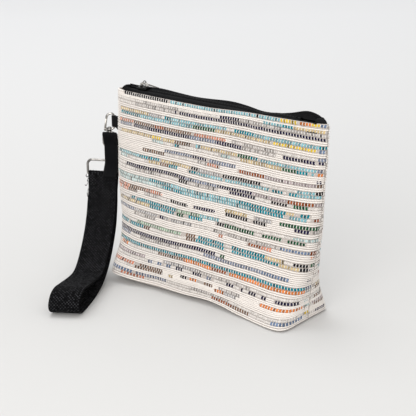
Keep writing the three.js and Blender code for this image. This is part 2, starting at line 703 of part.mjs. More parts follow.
// Middle of the webbing where it runs as an open loop, from the sewn end round to it again.
function strapLine() {
  const half = STRAP / 2;
  const split = ringFootZ - STRAP_SEWN;
  const knots = STRAP_LINE.map(([out, up]) => {
    return new THREE.Vector2(-out * (STRAP_REACH - half), half + up * (ringFootZ - half));
  });
  const front = new THREE.Vector2(-STRAP_LEAN - half, split);
  const back = new THREE.Vector2(-STRAP_LEAN + half, split);
  return new THREE.SplineCurve([front, ...knots, back]).getPoints(STRAP_STEPS);
}

// Strap seen from its edge: folded over the ring, sewn, then an open loop out to the floor.
function wristStrap() {
  const line = strapLine();
  const last = line.length - 1;
  const shifted = (by) =>
    line.map((p, i) => {
      const along = line[Math.min(last, i + 1)].clone().sub(line[Math.max(0, i - 1)]).normalize();
      return new THREE.Vector2(p.x + by * along.y, p.y - by * along.x);
    });
  const fold = RING_WIRE + CLEAR + STRAP;
  const overRing = Array.from({ length: FOLD_STEPS + 1 }, (_, i) => {
    const angle = (Math.PI * i) / FOLD_STEPS;
    return new THREE.Vector2(fold * Math.cos(angle), ringFootZ + fold * Math.sin(angle));
  });
  const shape = new THREE.Shape([...overRing, ...shifted(STRAP / 2)]);
  shape.holes.push(new THREE.Path(shifted(-STRAP / 2).slice(1, last)));
  shape.holes.push(circle(0, ringFootZ, RING_WIRE + CLEAR));
  return alongX(shape, RING_SHIFT - STRAP_WIDTH / 2, STRAP_WIDTH);
}

// Finishes

function finish(color, roughness, metalness) {
  return () => new THREE.MeshStandardMaterial({ color, roughness, metalness });
}

const wovenCloth = finish("#e6ded8", 0.85, 0);
const liningCloth = finish("#2a2a2c", 0.8, 0);
const blackTape = finish("#151516", 0.75, 0);
const blackNylon = finish("#1b1b1d", 0.45, 0);
const webbing = finish("#161617", 0.8, 0);
const nickel = finish("#c9c9cb", 0.22, 1);

// Assembly

const pouch = new THREE.Group();

function place(parent, name, geometry, material) {
  const mesh = new THREE.Mesh(geometry, material());
  mesh.name = name;
  parent.add(mesh);
  return mesh;
}

const cloth = clothWalls();
const skin = liningWalls();
for (const [side, name] of [[FRONT, "front"], [BACK, "back"]]) {
  const panel = cloth.intersect(seamTool(side, POUCH_HEIGHT + OVERSHOOT));
  const lining = skin.intersect(seamTool(side, POUCH_HEIGHT - TAPE_HEM - CLEAR - TOP_SAG));
  place(pouch, name + "_panel", geometryOf(panel), wovenCloth);
  place(pouch, name + "_lining", geometryOf(lining), liningCloth);
  place(pouch, "zip_tape_" + name, zipTape(side), blackTape);
  place(pouch, "zip_teeth_" + name, geometryOf(solidOf(zipTeeth(side))), blackNylon);
}
for (const [side, name] of [[-1, "left"], [1, "right"]]) {
  place(pouch, "zip_stop_" + name, zipStop(side), blackNylon);
  place(pouch, "zip_end_tab_" + name, zipEndTab(side), blackTape);
}
place(pouch, "side_tab", sideTab(), blackTape);

const slider = new THREE.Group();
slider.position.set(sliderX, 0, chainZ);
place(slider, "zip_slider", zipSlider(), nickel);
const pull = place(slider, "zip_pull", zipPull(), nickel);
pull.position.z = sliderTop + crownTunnel;
pull.rotation.x = -asRadians(PULL_DROOP);
pouch.add(slider);

const limb = new THREE.Group();
limb.position.set(tabSeat().limbX, 0, hubZ);
limb.rotation.z = asRadians(HOOK_TURN);
const hook = new THREE.Group();
hook.position.x = -LIMB_OFFSET;
place(hook, "hook_body", hookBody(), nickel);
place(hook, "hook_gate", hookGate(), nickel);
place(hook, "hook_gate_pin", gatePin(), nickel);
limb.add(hook);
pouch.add(limb);

// The eye and all below it hang from the swivel axis, turned to their own heading.
const hung = new THREE.Group();
hung.rotation.z = asRadians(STRAP_TURN - HOOK_TURN);
place(hung, "swivel_eye", swivelEye(), nickel);
const strapDrop = new THREE.Group();
strapDrop.position.z = -hubZ;
place(strapDrop, "ribbon_loop", ribbonLoop(), blackTape);
place(strapDrop, "strap_ring", strapRing(), nickel);
place(strapDrop, "wrist_strap", wristStrap(), webbing);
hung.add(strapDrop);
hook.add(hung);

export default pouch;
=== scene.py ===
import math
import random

import bmesh
import bpy
from mathutils import Matrix, Vector, noise


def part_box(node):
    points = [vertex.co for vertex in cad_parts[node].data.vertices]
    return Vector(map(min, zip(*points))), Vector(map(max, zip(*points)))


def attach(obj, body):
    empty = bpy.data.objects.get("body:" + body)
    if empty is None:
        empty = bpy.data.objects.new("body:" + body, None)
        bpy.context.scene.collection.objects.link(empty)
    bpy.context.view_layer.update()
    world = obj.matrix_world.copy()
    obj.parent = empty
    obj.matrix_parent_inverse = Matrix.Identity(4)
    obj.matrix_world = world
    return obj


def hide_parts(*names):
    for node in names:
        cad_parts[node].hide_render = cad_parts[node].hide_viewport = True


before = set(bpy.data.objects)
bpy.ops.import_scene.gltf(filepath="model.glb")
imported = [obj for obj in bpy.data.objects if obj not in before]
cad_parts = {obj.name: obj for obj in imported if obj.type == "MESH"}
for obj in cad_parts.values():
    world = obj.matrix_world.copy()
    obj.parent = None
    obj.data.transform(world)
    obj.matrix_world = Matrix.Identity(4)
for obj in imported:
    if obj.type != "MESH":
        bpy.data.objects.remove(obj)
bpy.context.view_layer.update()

mm = 0.001
scene = bpy.context.scene
scene.view_settings.view_transform = "Standard"


# camera: the photo's viewing angle, target and lens

view = {
    "azimuth": 38.83, "elevation": 18.96, "distance": 1.2343,
    "target": (-0.01013, 0, 0.07715), "roll": -0.99, "lens": 36 * 1446.4 / 416,
}


def makeCamera():
    turn, tip, roll = (math.radians(view[k]) for k in ("azimuth", "elevation", "roll"))
    back = Vector((math.sin(turn) * math.cos(tip), -math.cos(turn) * math.cos(tip), math.sin(tip)))
    right = Vector((math.cos(turn), math.sin(turn), 0))
    up = back.cross(right)
    rightRolled = right * math.cos(roll) + up * math.sin(roll)
    upRolled = up * math.cos(roll) - right * math.sin(roll)
    data = bpy.data.cameras.new("photoView")
    data.sensor_width = 36
    data.lens = view["lens"]
    data.clip_end = 20
    camera = bpy.data.objects.new("photoView", data)
    scene.collection.objects.link(camera)
    place = Matrix((rightRolled, upRolled, back)).transposed().to_4x4()
    place.translation = Vector(view["target"]) + back * view["distance"]
    camera.matrix_world = place
    scene.camera = camera


makeCamera()
print("camera set")


# small sums

def unit(value):
    return min(1, max(0, value))


def smoothStep(value):
    share = unit(value)
    return share * share * (3 - 2 * share)


def blend(a, b, share):
    return a + (b - a) * share


def bell(value, spread):
    return math.exp(-(value / spread) ** 2)


def squared(value, power):
    return math.copysign(abs(value) ** power, value)


def runOf(points):
    run = [0]
    for a, b in zip(points, points[1:]):
        run.append(run[-1] + math.dist(a, b))
    return run


def evenly(points, count):
    run = runOf(points)
    made, at = [], 0
    for k in range(count + 1):
        want = run[-1] * k / count
        while at < len(points) - 2 and run[at + 1] < want:
            at += 1
        part = (want - run[at]) / (run[at + 1] - run[at])
        (ax, ay), (bx, by) = points[at], points[at + 1]
        made.append((blend(ax, bx, part), blend(ay, by, part)))
    return made


def smoothLine(points, per):
    line = []
    for i in range(len(points) - 1):
        p0, p1, p2 = points[max(0, i - 1)], points[i], points[i + 1]
        p3 = points[min(len(points) - 1, i + 2)]
        for s in range(per):
            t = s / per
            curve = (2 * p0 - 5 * p1 + 4 * p2 - p3) * t * t
            line.append(0.5 * (2 * p1 + (p2 - p0) * t + curve + (3 * p1 - p0 - 3 * p2 + p3) * t ** 3))
    line.append(points[-1].copy())
    return line


# nodes, and shader maths with a wrapped socket that takes part in sums

def addNode(tree, kind, settings, feeds):
    made = tree.nodes.new(kind)
    for key, value in settings.items():
        setattr(made, key, value)
    for key, value in feeds.items():
        if isinstance(value, bpy.types.NodeSocket):
            tree.links.new(value, made.inputs[key])
        else:
            made.inputs[key].default_value = (*value, 1) if isinstance(value, tuple) else value
    return made


class Wire:
    def __init__(self, shop, socket):
        self.shop = shop
        self.socket = socket

    def math(self, kind, other=None, swap=False):
        pair = [self] if other is None else [other, self] if swap else [self, other]
        return self.shop.node("ShaderNodeMath", pair, operation=kind)

    def __add__(self, other):
        return self.math("ADD", other)

    def __sub__(self, other):
        return self.math("SUBTRACT", other)

    def __rsub__(self, other):
        return self.math("SUBTRACT", other, True)

    def __mul__(self, other):
        return self.math("MULTIPLY", other)

    __radd__ = __add__
    __rmul__ = __mul__


class Shop:
    def __init__(self, name):
        self.material = bpy.data.materials.new(name)
        self.material.use_nodes = True
        self.tree = self.material.node_tree
        self.tree.nodes.clear()

    def node(self, kind, inputs=(), out=0, **settings):
        feeds = inputs if isinstance(inputs, dict) else dict(enumerate(inputs))
        feeds = {key: value.socket if isinstance(value, Wire) else value for key, value in feeds.items()}
        return Wire(self, addNode(self.tree, kind, settings, feeds).outputs[out])

    def mix(self, share, a, b, kind="MIX"):
        return self.node("ShaderNodeMix", {0: share, 6: a, 7: b}, 2, data_type="RGBA", blend_type=kind)

    def spread(self, value, low, high, first=0.0, last=1.0):
        return self.node("ShaderNodeMapRange", [value, low, high, first, last])

    def place(self, axis):
        return self.node("ShaderNodeSeparateXYZ", [self.node("ShaderNodeTexCoord", out=3)], axis)

    def uv(self, axis):
        return self.node("ShaderNodeSeparateXYZ", [self.node("ShaderNodeUVMap", uv_map="cut")], axis)

    def tint(self):
        return self.node("ShaderNodeAttribute", attribute_name="tint")

    def grain(self, scale, detail):
        where = self.node("ShaderNodeTexCoord", out=3)
        return self.node("ShaderNodeTexNoise", {"Vector": where, "Scale": scale, "Detail": detail})

    def wave(self, value, pitch):
        return ((value * (2 * math.pi / pitch)).math("SINE") + 1) * 0.5

    def bump(self, height, depth, strength):
        return self.node("ShaderNodeBump", {"Strength": strength, "Distance": depth, "Height": height})

    def set(self, **values):
        names = {"color": "Base Color", "rough": "Roughness", "metal": "Metallic", "normal": "Normal"}
        names.update({"sheen": "Sheen Weight", "specular": "Specular IOR Level"})
        skin = self.node("ShaderNodeBsdfPrincipled", {names[key]: value for key, value in values.items()})
        addNode(self.tree, "ShaderNodeOutputMaterial", {}, {0: skin.socket})
        return self.material

    def dress(self, share, dark, light, bump, **values):
        return self.set(color=self.mix(share, dark, light), normal=self.bump(*bump), **values)


def yarnFinish():
    shop = Shop("rag_weft")
    fluff = shop.grain(900, 3)
    tone = shop.mix(0.16, shop.tint(), shop.spread(fluff, 0.3, 0.7, 0.35), "MULTIPLY")
    normal = shop.bump(fluff, 0.0002, 0.35)
    return shop.set(color=tone, rough=0.86 + fluff * 0.1, sheen=0.02, normal=normal, specular=0.08)


def creamFinish():
    shop = Shop("cream_weft")
    fluff, streak = shop.grain(900, 3), shop.grain(150, 2)
    return shop.dress(
        fluff * 0.5 + streak * 0.35, (0.70, 0.655, 0.615), (0.88, 0.835, 0.79),
        (fluff, 0.0002, 0.35), rough=0.9, specular=0.08)


# the ground sheet under the cords: its darker colour, banded at the row pitch, is painted shade in the gaps
# between the cream cords
def shadedGroundFinish():
    shop = Shop("cream_ground")
    warp, weft = shop.wave(shop.uv(0), 2.6 * mm), shop.wave(shop.uv(1), 1.575 * mm)
    fluff = shop.grain(700, 4)
    tone = shop.mix(weft, (0.36, 0.325, 0.30), (0.52, 0.47, 0.435))
    height = warp * 0.35 + weft * 0.5 + fluff * 0.3
    return shop.dress(
        fluff * 0.35, tone, (0.60, 0.55, 0.52), (height, 0.0005, 0.7), rough=0.9, sheen=0.1, specular=0.2)


def liningFinish():
    shop = Shop("dark_lining")
    weave = shop.wave(shop.uv(0), 0.8 * mm) * shop.wave(shop.uv(1), 0.8 * mm)
    return shop.dress(
        weave, (0.018, 0.018, 0.02), (0.045, 0.045, 0.048), (weave, 0.0002, 0.5), rough=0.7, specular=0.3)


def tapeFinish():
    shop = Shop("zip_tape")
    rib = shop.wave(shop.uv(0) + shop.uv(1), 1.1 * mm)
    cord = shop.wave(shop.uv(1), 1.5 * mm)
    return shop.dress(
        rib * 0.5 + shop.grain(500, 4) * 0.4, (0.003, 0.003, 0.0035), (0.012, 0.012, 0.013),
        (rib * 0.6 + cord * 0.5, 0.0003, 0.7), rough=0.72, specular=0.08)


def webFinish():
    shop = Shop("strap_web")
    fluff, band = shop.grain(800, 4), shop.grain(60, 2)
    return shop.dress(
        fluff * 0.6 + band * 0.3, (0.0006, 0.0006, 0.0009), (0.002, 0.002, 0.0026),
        (fluff, 0.0002, 0.6), rough=0.62 + fluff * 0.25, specular=0.05)


# the raised weave bumps are painted lighter than the band: a painted highlight, with random tone from bump to
# bump
def strapBumpHighlightFinish():
    shop = Shop("strap_web_bump")
    fluff = shop.grain(1200, 3)
    return shop.dress(
        fluff * 0.5, shop.tint(), (0.002, 0.002, 0.0022), (fluff, 0.0002, 0.6),
        rough=0.6 + fluff * 0.3, specular=0.05)


def ribbonFinish():
    shop = Shop("woven_ribbon")
    rib = shop.wave(shop.uv(1), 0.9 * mm)
    edge = (shop.uv(0).math("ABSOLUTE") - 5.2 * mm).math("GREATER_THAN", 0)
    fluff = shop.grain(700, 3)
    tone = shop.mix(rib * 0.5 + fluff * 0.3, (0.0015, 0.0015, 0.002), (0.006, 0.006, 0.0065))
    return shop.dress(
        edge * 0.6, tone, (0.010, 0.0095, 0.010), (rib, 0.00025, 0.7), rough=0.5 + fluff * 0.2, specular=0.06)


def nickelFinish():
    shop = Shop("bright_nickel")
    cloud, fine = shop.grain(260, 3), shop.grain(2400, 2)
    return shop.dress(
        cloud, (0.11, 0.105, 0.10), (0.52, 0.50, 0.475), (fine, 0.00005, 0.25),
        metal=1.0, rough=0.08 + cloud * 0.12)


def sliderShadeFinish():
    shop = Shop("worn_slider")
    cloud = shop.grain(420, 2)
    # below the crown the slider is painted near-black: painted shade and dark reflection on the wings; above
    # it, random cloud tone
    litCrownMask = shop.spread(shop.place(2), 0.1742, 0.1752)
    tone = shop.mix(cloud, (0.30, 0.28, 0.26), (0.95, 0.92, 0.88))
    return shop.dress(
        litCrownMask, (0.02, 0.02, 0.02), tone, (cloud, 0.0001, 0.3), metal=1.0, rough=0.06 + cloud * 0.08)


def cloudFinish(name, scale, dark, light, rough, **values):
    shop = Shop(name)
    cloud = shop.grain(scale, 2)
    return shop.dress(cloud, dark, light, (cloud, 0.0001, 0.3), rough=rough[0] + cloud * rough[1], **values)


finishes = {
    "yarn": yarnFinish(), "ground": shadedGroundFinish(), "lining": liningFinish(), "tape": tapeFinish(),
    "web": webFinish(), "bumpHighlight": strapBumpHighlightFinish(), "ribbon": ribbonFinish(), "nickel": nickelFinish(),
    "cream": creamFinish(), "slider": sliderShadeFinish(),
    "dim": cloudFinish("dim_nickel", 420, (0.05, 0.045, 0.04), (0.50, 0.48, 0.45), (0.1, 0.1), metal=1.0),
    "nylon": cloudFinish(
        "black_nylon", 900, (0.0015, 0.0015, 0.002), (0.004, 0.004, 0.0045), (0.38, 0.12), specular=0.06),
}
print("finishes made", len(finishes))


# mesh helpers

def linked(name, data):
    made = bpy.data.objects.new(name, data)
    scene.collection.objects.link(made)
    return made


def meshObject(name, verts, faces, finish=None, uvs=None):
    mesh = bpy.data.meshes.new(name)
    mesh.from_pydata([tuple(v) for v in verts], [], faces)
    if uvs:
        layer = mesh.uv_layers.new(name="cut")
        for loop in mesh.loops:
            layer.data[loop.index].uv = uvs[loop.vertex_index]
    mesh.validate()
    mesh.shade_smooth()
    if finish:
        mesh.materials.append(finishes[finish])
    return linked(name, mesh)


def gridFaces(rows, n, closed=False):
    faces = []
    for r in range(rows):
        for s in range(n if closed else n - 1):
            a, b = r * n + s, r * n + (s + 1) % n
            faces.append((a, b, b + n, a + n))
    return faces


def sidedFaces(rows, n, side):
    return [(a, d, c, b) if side < 0 else (b, c, d, a) for a, b, c, d in gridFaces(rows, n)]


def loftFaces(rings, corners):
    top = (rings - 1) * corners
    caps = [tuple(range(corners))[::-1], tuple(range(top, top + corners))]
    return gridFaces(rings - 1, corners, True) + caps


def thicken(made, thick, offset):
    shell = made.modifiers.new("thickness", "SOLIDIFY")
    shell.thickness = thick
    shell.offset = offset


def settle(made):
    deps = bpy.context.evaluated_depsgraph_get()
    ready = made.evaluated_get(deps)
    plain = bpy.data.meshes.new_from_object(ready, preserve_all_data_layers=True, depsgraph=deps)
    made.modifiers.clear()
    old = made.data
    made.data = plain
    plain.name = made.name
    if old.users == 0:
        bpy.data.meshes.remove(old)


def aboveFloor(made):
    for vert in made.data.vertices:
        if vert.co.z < 0:
            vert.co.z = 0


def faceOut(made):
    work = bmesh.new()
    work.from_mesh(made.data)
    bmesh.ops.remove_doubles(work, verts=work.verts, dist=1e-7)
    bmesh.ops.recalc_face_normals(work, faces=work.faces)
    work.to_mesh(made.data)
    work.free()


# repeats: grains set on points, and rounded outlines swept along paths, by node trees

class Tree:
    def __init__(self, name, inputs):
        self.tree = bpy.data.node_groups.new(name, "GeometryNodeTree")
        face = self.tree.interface
        for title, kind in (("Geometry", "Geometry"), *inputs, ("Finish", "Material")):
            face.new_socket(title, in_out="INPUT", socket_type="NodeSocket" + kind)
        face.new_socket("Geometry", in_out="OUTPUT", socket_type="NodeSocketGeometry")
        self.given = self.tree.nodes.new("NodeGroupInput").outputs

    def node(self, kind, feeds, out=0, **settings):
        return addNode(self.tree, kind, settings, feeds).outputs[out]

    def named(self, name):
        kind = "GeometryNodeInputNamedAttribute"
        return self.node(kind, {"Name": name}, "Attribute", data_type="FLOAT_VECTOR")

    def close(self, shape):
        real = self.node("GeometryNodeRealizeInstances", {0: shape})
        coat = self.node("GeometryNodeSetMaterial", {0: real, "Material": self.given["Finish"]})
        addNode(self.tree, "NodeGroupOutput", {}, {0: coat})
        return self.tree


def scatterTree():
    sizes = ("Width", "Length", "Height")
    floats = [(name, "Float") for name in (*sizes, "Spread")]
    plan = Tree("set_on_points", [("Piece", "Object"), *floats, ("Seed", "Int")])
    given = plan.given
    source = plan.node("GeometryNodeObjectInfo", {"Object": given["Piece"]}, "Geometry")
    turn = plan.node("FunctionNodeEulerToRotation", {0: plan.named("turn")})
    size = plan.node("ShaderNodeCombineXYZ", {i: given[name] for i, name in enumerate(sizes)})
    own = plan.node("ShaderNodeVectorMath", {0: size, 1: plan.named("size")}, operation="MULTIPLY")
    low = plan.node("ShaderNodeMath", {0: 1, 1: given["Spread"]}, operation="SUBTRACT")
    vary = plan.node("FunctionNodeRandomValue", {2: low, 3: 1, "Seed": given["Seed"]}, 1, data_type="FLOAT")
    scaled = plan.node("ShaderNodeVectorMath", {0: own, "Scale": vary}, operation="SCALE")
    feeds = {"Points": given["Geometry"], "Instance": source, "Rotation": turn, "Scale": scaled}
    return plan.close(plan.node("GeometryNodeInstanceOnPoints", feeds))


def sweepTree():
    floats = [(name, "Float") for name in ("Width", "Thickness", "Rounding")]
    plan = Tree("sweep_along_path", [*floats, ("Steps", "Int")])
    given = plan.given
    path = plan.node("GeometryNodeMeshToCurve", {0: given["Geometry"]})
    feeds = {"Curve": path, "Normal": plan.named("across")}
    aimed = plan.node("GeometryNodeSetCurveNormal", feeds, mode="FREE")
    feeds = {"Width": given["Width"], "Height": given["Thickness"]}
    block = plan.node("GeometryNodeCurvePrimitiveQuadrilateral", feeds)
    feeds = {"Curve": block, "Count": given["Steps"], "Radius": given["Rounding"]}
    outline = plan.node("GeometryNodeFilletCurve", feeds, mode="POLY")
    feeds = {"Curve": aimed, "Profile Curve": outline, "Fill Caps": True}
    return plan.close(plan.node("GeometryNodeCurveToMesh", feeds))


setOnPoints = scatterTree()
sweepAlong = sweepTree()


def grown(name, mesh, tree, values, helpers):
    made = linked(name, mesh)
    change = made.modifiers.new("grown", "NODES")
    change.node_group = tree
    for item in tree.interface.items_tree:
        if item.in_out == "INPUT" and item.name in values:
            change[item.identifier] = values[item.name]
    settle(made)
    for helper in helpers:
        if helper in made.data.attributes:
            made.data.attributes.remove(made.data.attributes[helper])
    aboveFloor(made)
    return made


def sweep(name, paths, across, sizes, finish, closed=False, steps=3):
    verts, edges, sides = [], [], []
    for path, side in zip(paths, across):
        first, count = len(verts), len(path)
        verts += [tuple(p) for p in path]
        sides += side if isinstance(side, list) else [side] * count
        edges += [(first + i, first + (i + 1) % count) for i in range(count if closed else count - 1)]
    mesh = bpy.data.meshes.new(name)
    mesh.from_pydata(verts, edges, [])
    mesh.attributes.new("across", "FLOAT_VECTOR", "POINT")
    for where, side in zip(mesh.attributes["across"].data, sides):
        where.vector = side
    values = {"Width": sizes[0], "Thickness": sizes[1], "Rounding": sizes[2], "Steps": steps}
    made = grown(name, mesh, sweepAlong, {**values, "Finish": finishes[finish]}, ["across"])
    faceOut(made)
    made.data.shade_smooth()
    return made


def wire(name, paths, across, radius, finish, closed=False, steps=3):
    return sweep(name, paths, across, (2 * radius, 2 * radius, 0.998 * radius), finish, closed, steps)


def domeGrain(name, corners, square, rings):
    verts = []
    for high, share in rings:
        for s in range(corners):
            angle = 2 * math.pi * (s + 0.5) / corners
            x, y = (squared(v, square) * 0.5 * share for v in (math.cos(angle), math.sin(angle)))
            verts.append((x, y, high))
    made = meshObject(name, verts, loftFaces(len(rings), corners))
    scene.collection.objects.unlink(made)
    return made


def scatter(name, places, grain, sizes, finish, spread=0.0, seed=1):
    mesh = bpy.data.meshes.new(name)
    mesh.from_pydata([p[0] for p in places], [], [])
    for key, kind in (("turn", "FLOAT_VECTOR"), ("size", "FLOAT_VECTOR"), ("tint", "FLOAT_COLOR")):
        mesh.attributes.new(key, kind, "POINT")
    turn, size, tint = (mesh.attributes[key].data for key in ("turn", "size", "tint"))
    for i, p in enumerate(places):
        turn[i].vector = p[1]
        size[i].vector = p[2]
        tint[i].color = (*p[3], 1)
    values = {"Piece": grain, "Width": sizes[0], "Length": sizes[1], "Height": sizes[2]}
    values.update({"Spread": spread, "Seed": seed, "Finish": finishes[finish]})
    made = grown(name, mesh, setOnPoints, values, ["turn", "size"])
    made.data.shade_smooth()
    return made


def turnOf(along, out):
    x = along.normalized()
    z = (out - x * out.dot(x)).normalized()
    return Matrix((x, z.cross(x), z)).transposed().to_euler()


# pouch: level sections as the solid has, with the cloth's own slack added

pouch = {
    "width": 0.225, "height": 0.169, "baseDepth": 0.062, "mouthDepth": 0.0185,
    "wedge": 1.55, "loss": 0.82, "baseSquare": 9.5, "waistSquare": 3.3, "mouthSquare": 2.7, "fade": 0.09,
    "cloth": 0.0012, "liningGap": 0.0016, "lining": 0.0005, "liningDrop": 0.0105, "cutWidth": 0.26,
    "baseRound": 0.003, "leastRound": 0.0006, "baseCut": 0.03, "seamShift": 0.003, "seamGap": 0.0002,
    "columns": 108, "rows": 84, "baseRows": 7,
    "topRise": 0.0022, "riseFrom": -0.010, "riseTo": 0.045,
}
slack = {
    "flare": [  # middle, spread and push of each slack corner
        ((-0.094, -0.029, 0.002), (0.024, 0.022, 0.024), (-0.0046, -0.0046, 0.0060)),
        ((0.094, -0.029, 0.0), (0.026, 0.020, 0.020), (0.0004, -0.0085, 0.0)),
        ((0.094, 0.029, 0.0), (0.022, 0.020, 0.024), (0.0008, 0.0016, 0.0)),
        ((-0.094, 0.029, 0.0), (0.022, 0.020, 0.024), (-0.0040, 0.0020, 0.0020)),
    ],
    "left": [  # height and shift of the left edge, in mm
        (0, 0), (20, -1.6), (35, -2.6), (55, -1.2), (75, -0.8), (100, 0), (125, 2), (150, 4.4), (175, 6.0)],
    "right": [  # and of the right edge
        (0, -0.4), (22, -2.8), (40, -2.4), (60, -1.8), (84, -1.3), (120, -1.5), (147, -0.6), (175, 0.3)],
    "arch": [(-0.045, 0.040, 0.9), (0.010, 0.030, 1.0)],
    "archLift": 0.0028, "archBack": 0.0052, "archHigh": 0.018,
    "pinchAt": (0.06, 0.056), "pinchWide": (0.06, 0.02), "pinch": 0.0016, "ripple": 0.0007, "fine": 0.0003,
    "calmSide": 0.02, "calmFoot": 0.004, "calmTop": 0.006,
}
arcs = {}
arcSteps = 240


def halfDepth(share):
    mouth, base = pouch["mouthDepth"] / 2, pouch["baseDepth"] / 2
    return mouth + (base - mouth) * (1 - share) ** pouch["wedge"]


def halfWidth(share):
    return pouch["width"] / 2 - pouch["loss"] * (halfDepth(share) - pouch["mouthDepth"] / 2)


def squareness(share):
    wall = blend(pouch["mouthSquare"], pouch["waistSquare"], 1 - share)
    return wall + (pouch["baseSquare"] - pouch["waistSquare"]) * math.exp(-share / pouch["fade"])


def sectionArc(share, inset):
    key = (round(share, 4), round(inset, 6))
    if key not in arcs:
        power = 2 / squareness(share)
        wide, deep = halfWidth(share) - inset, halfDepth(share) - inset
        fine = []
        for i in range(321):
            c, s = math.cos(math.pi * i / 320), math.sin(math.pi * i / 320)
            fine.append((-squared(c, power) * wide, -deep * abs(s) ** power))
        arcs[key] = evenly(fine, arcSteps)
    return arcs[key]


def softLine(points):
    def straight(value):
        value = min(points[-1][0], max(points[0][0], value))
        for (a, low), (b, high) in zip(points, points[1:]):
            if value <= b:
                return low + (high - low) * (value - a) / (b - a)
    return [sum(straight(z + d) for d in (-6, -3, 0, 3, 6)) / 5 for z in range(177)]


leftLine, rightLine = softLine(slack["left"]), softLine(slack["right"])


def shiftAt(x, z):
    at = min(175.99, max(0, z / mm))
    i = int(at)
    left, right = (blend(line[i], line[i + 1], at - i) for line in (leftLine, rightLine))
    return blend(left, right, unit(x / pouch["width"] + 0.5)) * mm


def topLift(x, side):
    if side > 0:
        return 0
    return pouch["topRise"] * smoothStep((x - pouch["riseFrom"]) / (pouch["riseTo"] - pouch["riseFrom"]))


def skinPoint(u, z, side, inset=0.0):
    share = unit(z / pouch["height"])
    even = sectionArc(share, inset)
    at = min(arcSteps - 0.001, max(0, u * arcSteps))
    i = int(at)
    x, y = (blend(a, b, at - i) for a, b in zip(even[i], even[i + 1]))
    y *= -side
    p = Vector((x, y, z + topLift(x, side) * share * share))
    still = p.copy()
    for where, spread, push in slack["flare"]:
        near = bell(still.x - where[0], spread[0]) * bell(still.y - where[1], spread[1])
        p += Vector(push) * near * bell(z - where[2], spread[2])
    if side < 0:
        rise = sum(much * bell(x - middle, wide) for middle, wide, much in slack["arch"])
        p += Vector((0, slack["archBack"], slack["archLift"])) * rise * bell(z, slack["archHigh"])
    p.x += shiftAt(x, z)
    edge = min(u, 1 - u) / slack["calmSide"]
    ease = unit(min(edge, z / slack["calmFoot"], (pouch["height"] - z) / slack["calmTop"]))
    wave = noise.noise(Vector((x * 26, side * 3.1, z * 40))) * slack["ripple"] * 2
    wave += noise.noise(Vector((x * 90, side * 7.3, z * 75))) * slack["fine"] * 2
    (pinchU, pinchZ), (wideU, wideZ) = slack["pinchAt"], slack["pinchWide"]
    wave -= slack["pinch"] * bell(z - pinchZ, wideZ) * bell(u - pinchU, wideU)
    p.y += side * wave * ease
    return p


def skinFrame(u, z, side):
    along = skinPoint(min(1, u + 0.004), z, side) - skinPoint(max(0, u - 0.004), z, side)
    up = skinPoint(u, z + 0.0008, side) - skinPoint(u, z - 0.0008, side)
    out = along.cross(up) * (-side)
    return skinPoint(u, z, side), along.normalized(), out.normalized()


def panelGrid(side, inset, top):
    columns, rows = pouch["columns"], pouch["rows"]
    curve = max(pouch["baseRound"] - inset, pouch["leastRound"])
    low = inset + curve
    levels = [(top - (top - low) * r / rows, inset) for r in range(rows + 1)]
    for k in (1, 2, 3):
        turn = math.pi / 2 * k / 3
        levels.append((inset + curve * (1 - math.sin(turn)), inset + curve * (1 - math.cos(turn))))
    verts, uvs = [], []
    for z, pull in levels:
        for c in range(columns + 1):
            verts.append(skinPoint(c / columns, z, side, pull))
            uvs.append((c / columns * pouch["width"], z))
    foot = verts[-columns - 1:]
    goal = pouch["seamShift"] + side * pouch["seamGap"]
    for k in range(1, pouch["baseRows"] + 1):
        part = k / pouch["baseRows"]
        for c, p in enumerate(foot):
            verts.append(Vector((p.x, blend(p.y, goal, part), blend(p.z, inset, min(1, 2 * part)))))
            uvs.append((c / columns * pouch["width"], -part * pouch["baseCut"]))
    return verts, sidedFaces(len(levels) - 1 + pouch["baseRows"], columns + 1, side), uvs


def clothArea(verts, faces):
    return sum((verts[c] - verts[a]).cross(verts[d] - verts[b]).length / 2 for a, b, c, d in faces)


def sheetPiece(name, side, inset, thick, finish, top, node):
    verts, faces, uvs = panelGrid(side, inset, top)
    made = meshObject(name, verts, faces, finish, uvs)
    thicken(made, thick, -1)
    settle(made)
    aboveFloor(made)
    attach(made, "pouch")
    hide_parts(node)
    return made, clothArea(verts, faces)


# weave: weft rows of rag dashes between white warps, two coloured rows and two thin cream ones a band

weave = {
    "firstRow": 6.3, "bandPitch": 9.58, "rowPitch": 3.05, "droop": 3.2, "lowDroop": 4.0, "lowBand": 12.5,
    "dashPitch": 2.6, "bands": 18, "threadPitch": 1.74, "fillShare": 0.55, "sideFrom": 0.964,
    "dash": (2.25, 3.3, 0.8), "cord": (1.44, 1.3, 0.62), "warp": (0.85, 3.3, 0.98),
    "ends": (0.004, 0.996), "lowest": 0.9, "topGap": 0.4, "sink": 0.0003, "seed": 11,
}
yarn = {
    "fill": (0.60, 0.56, 0.525), "white": (0.80, 0.765, 0.73), "navy": (0.016, 0.012, 0.045),
    "black": (0.014, 0.013, 0.016), "teal": (0.006, 0.22, 0.28), "aqua": (0.22, 0.45, 0.50),
    "pale": (0.46, 0.59, 0.58), "lilac": (0.20, 0.225, 0.30), "grey": (0.38, 0.365, 0.365),
    "ash": (0.50, 0.46, 0.435), "tan": (0.60, 0.46, 0.25), "yellow": (0.76, 0.53, 0.06),
    "orange": (0.72, 0.22, 0.055), "coral": (0.62, 0.25, 0.16), "rust": (0.30, 0.075, 0.022),
    "brown": (0.20, 0.12, 0.08), "mauve": (0.42, 0.35, 0.36), "green": (0.018, 0.09, 0.04),
    "sage": (0.30, 0.42, 0.30), "blue": (0.17, 0.23, 0.35),
}
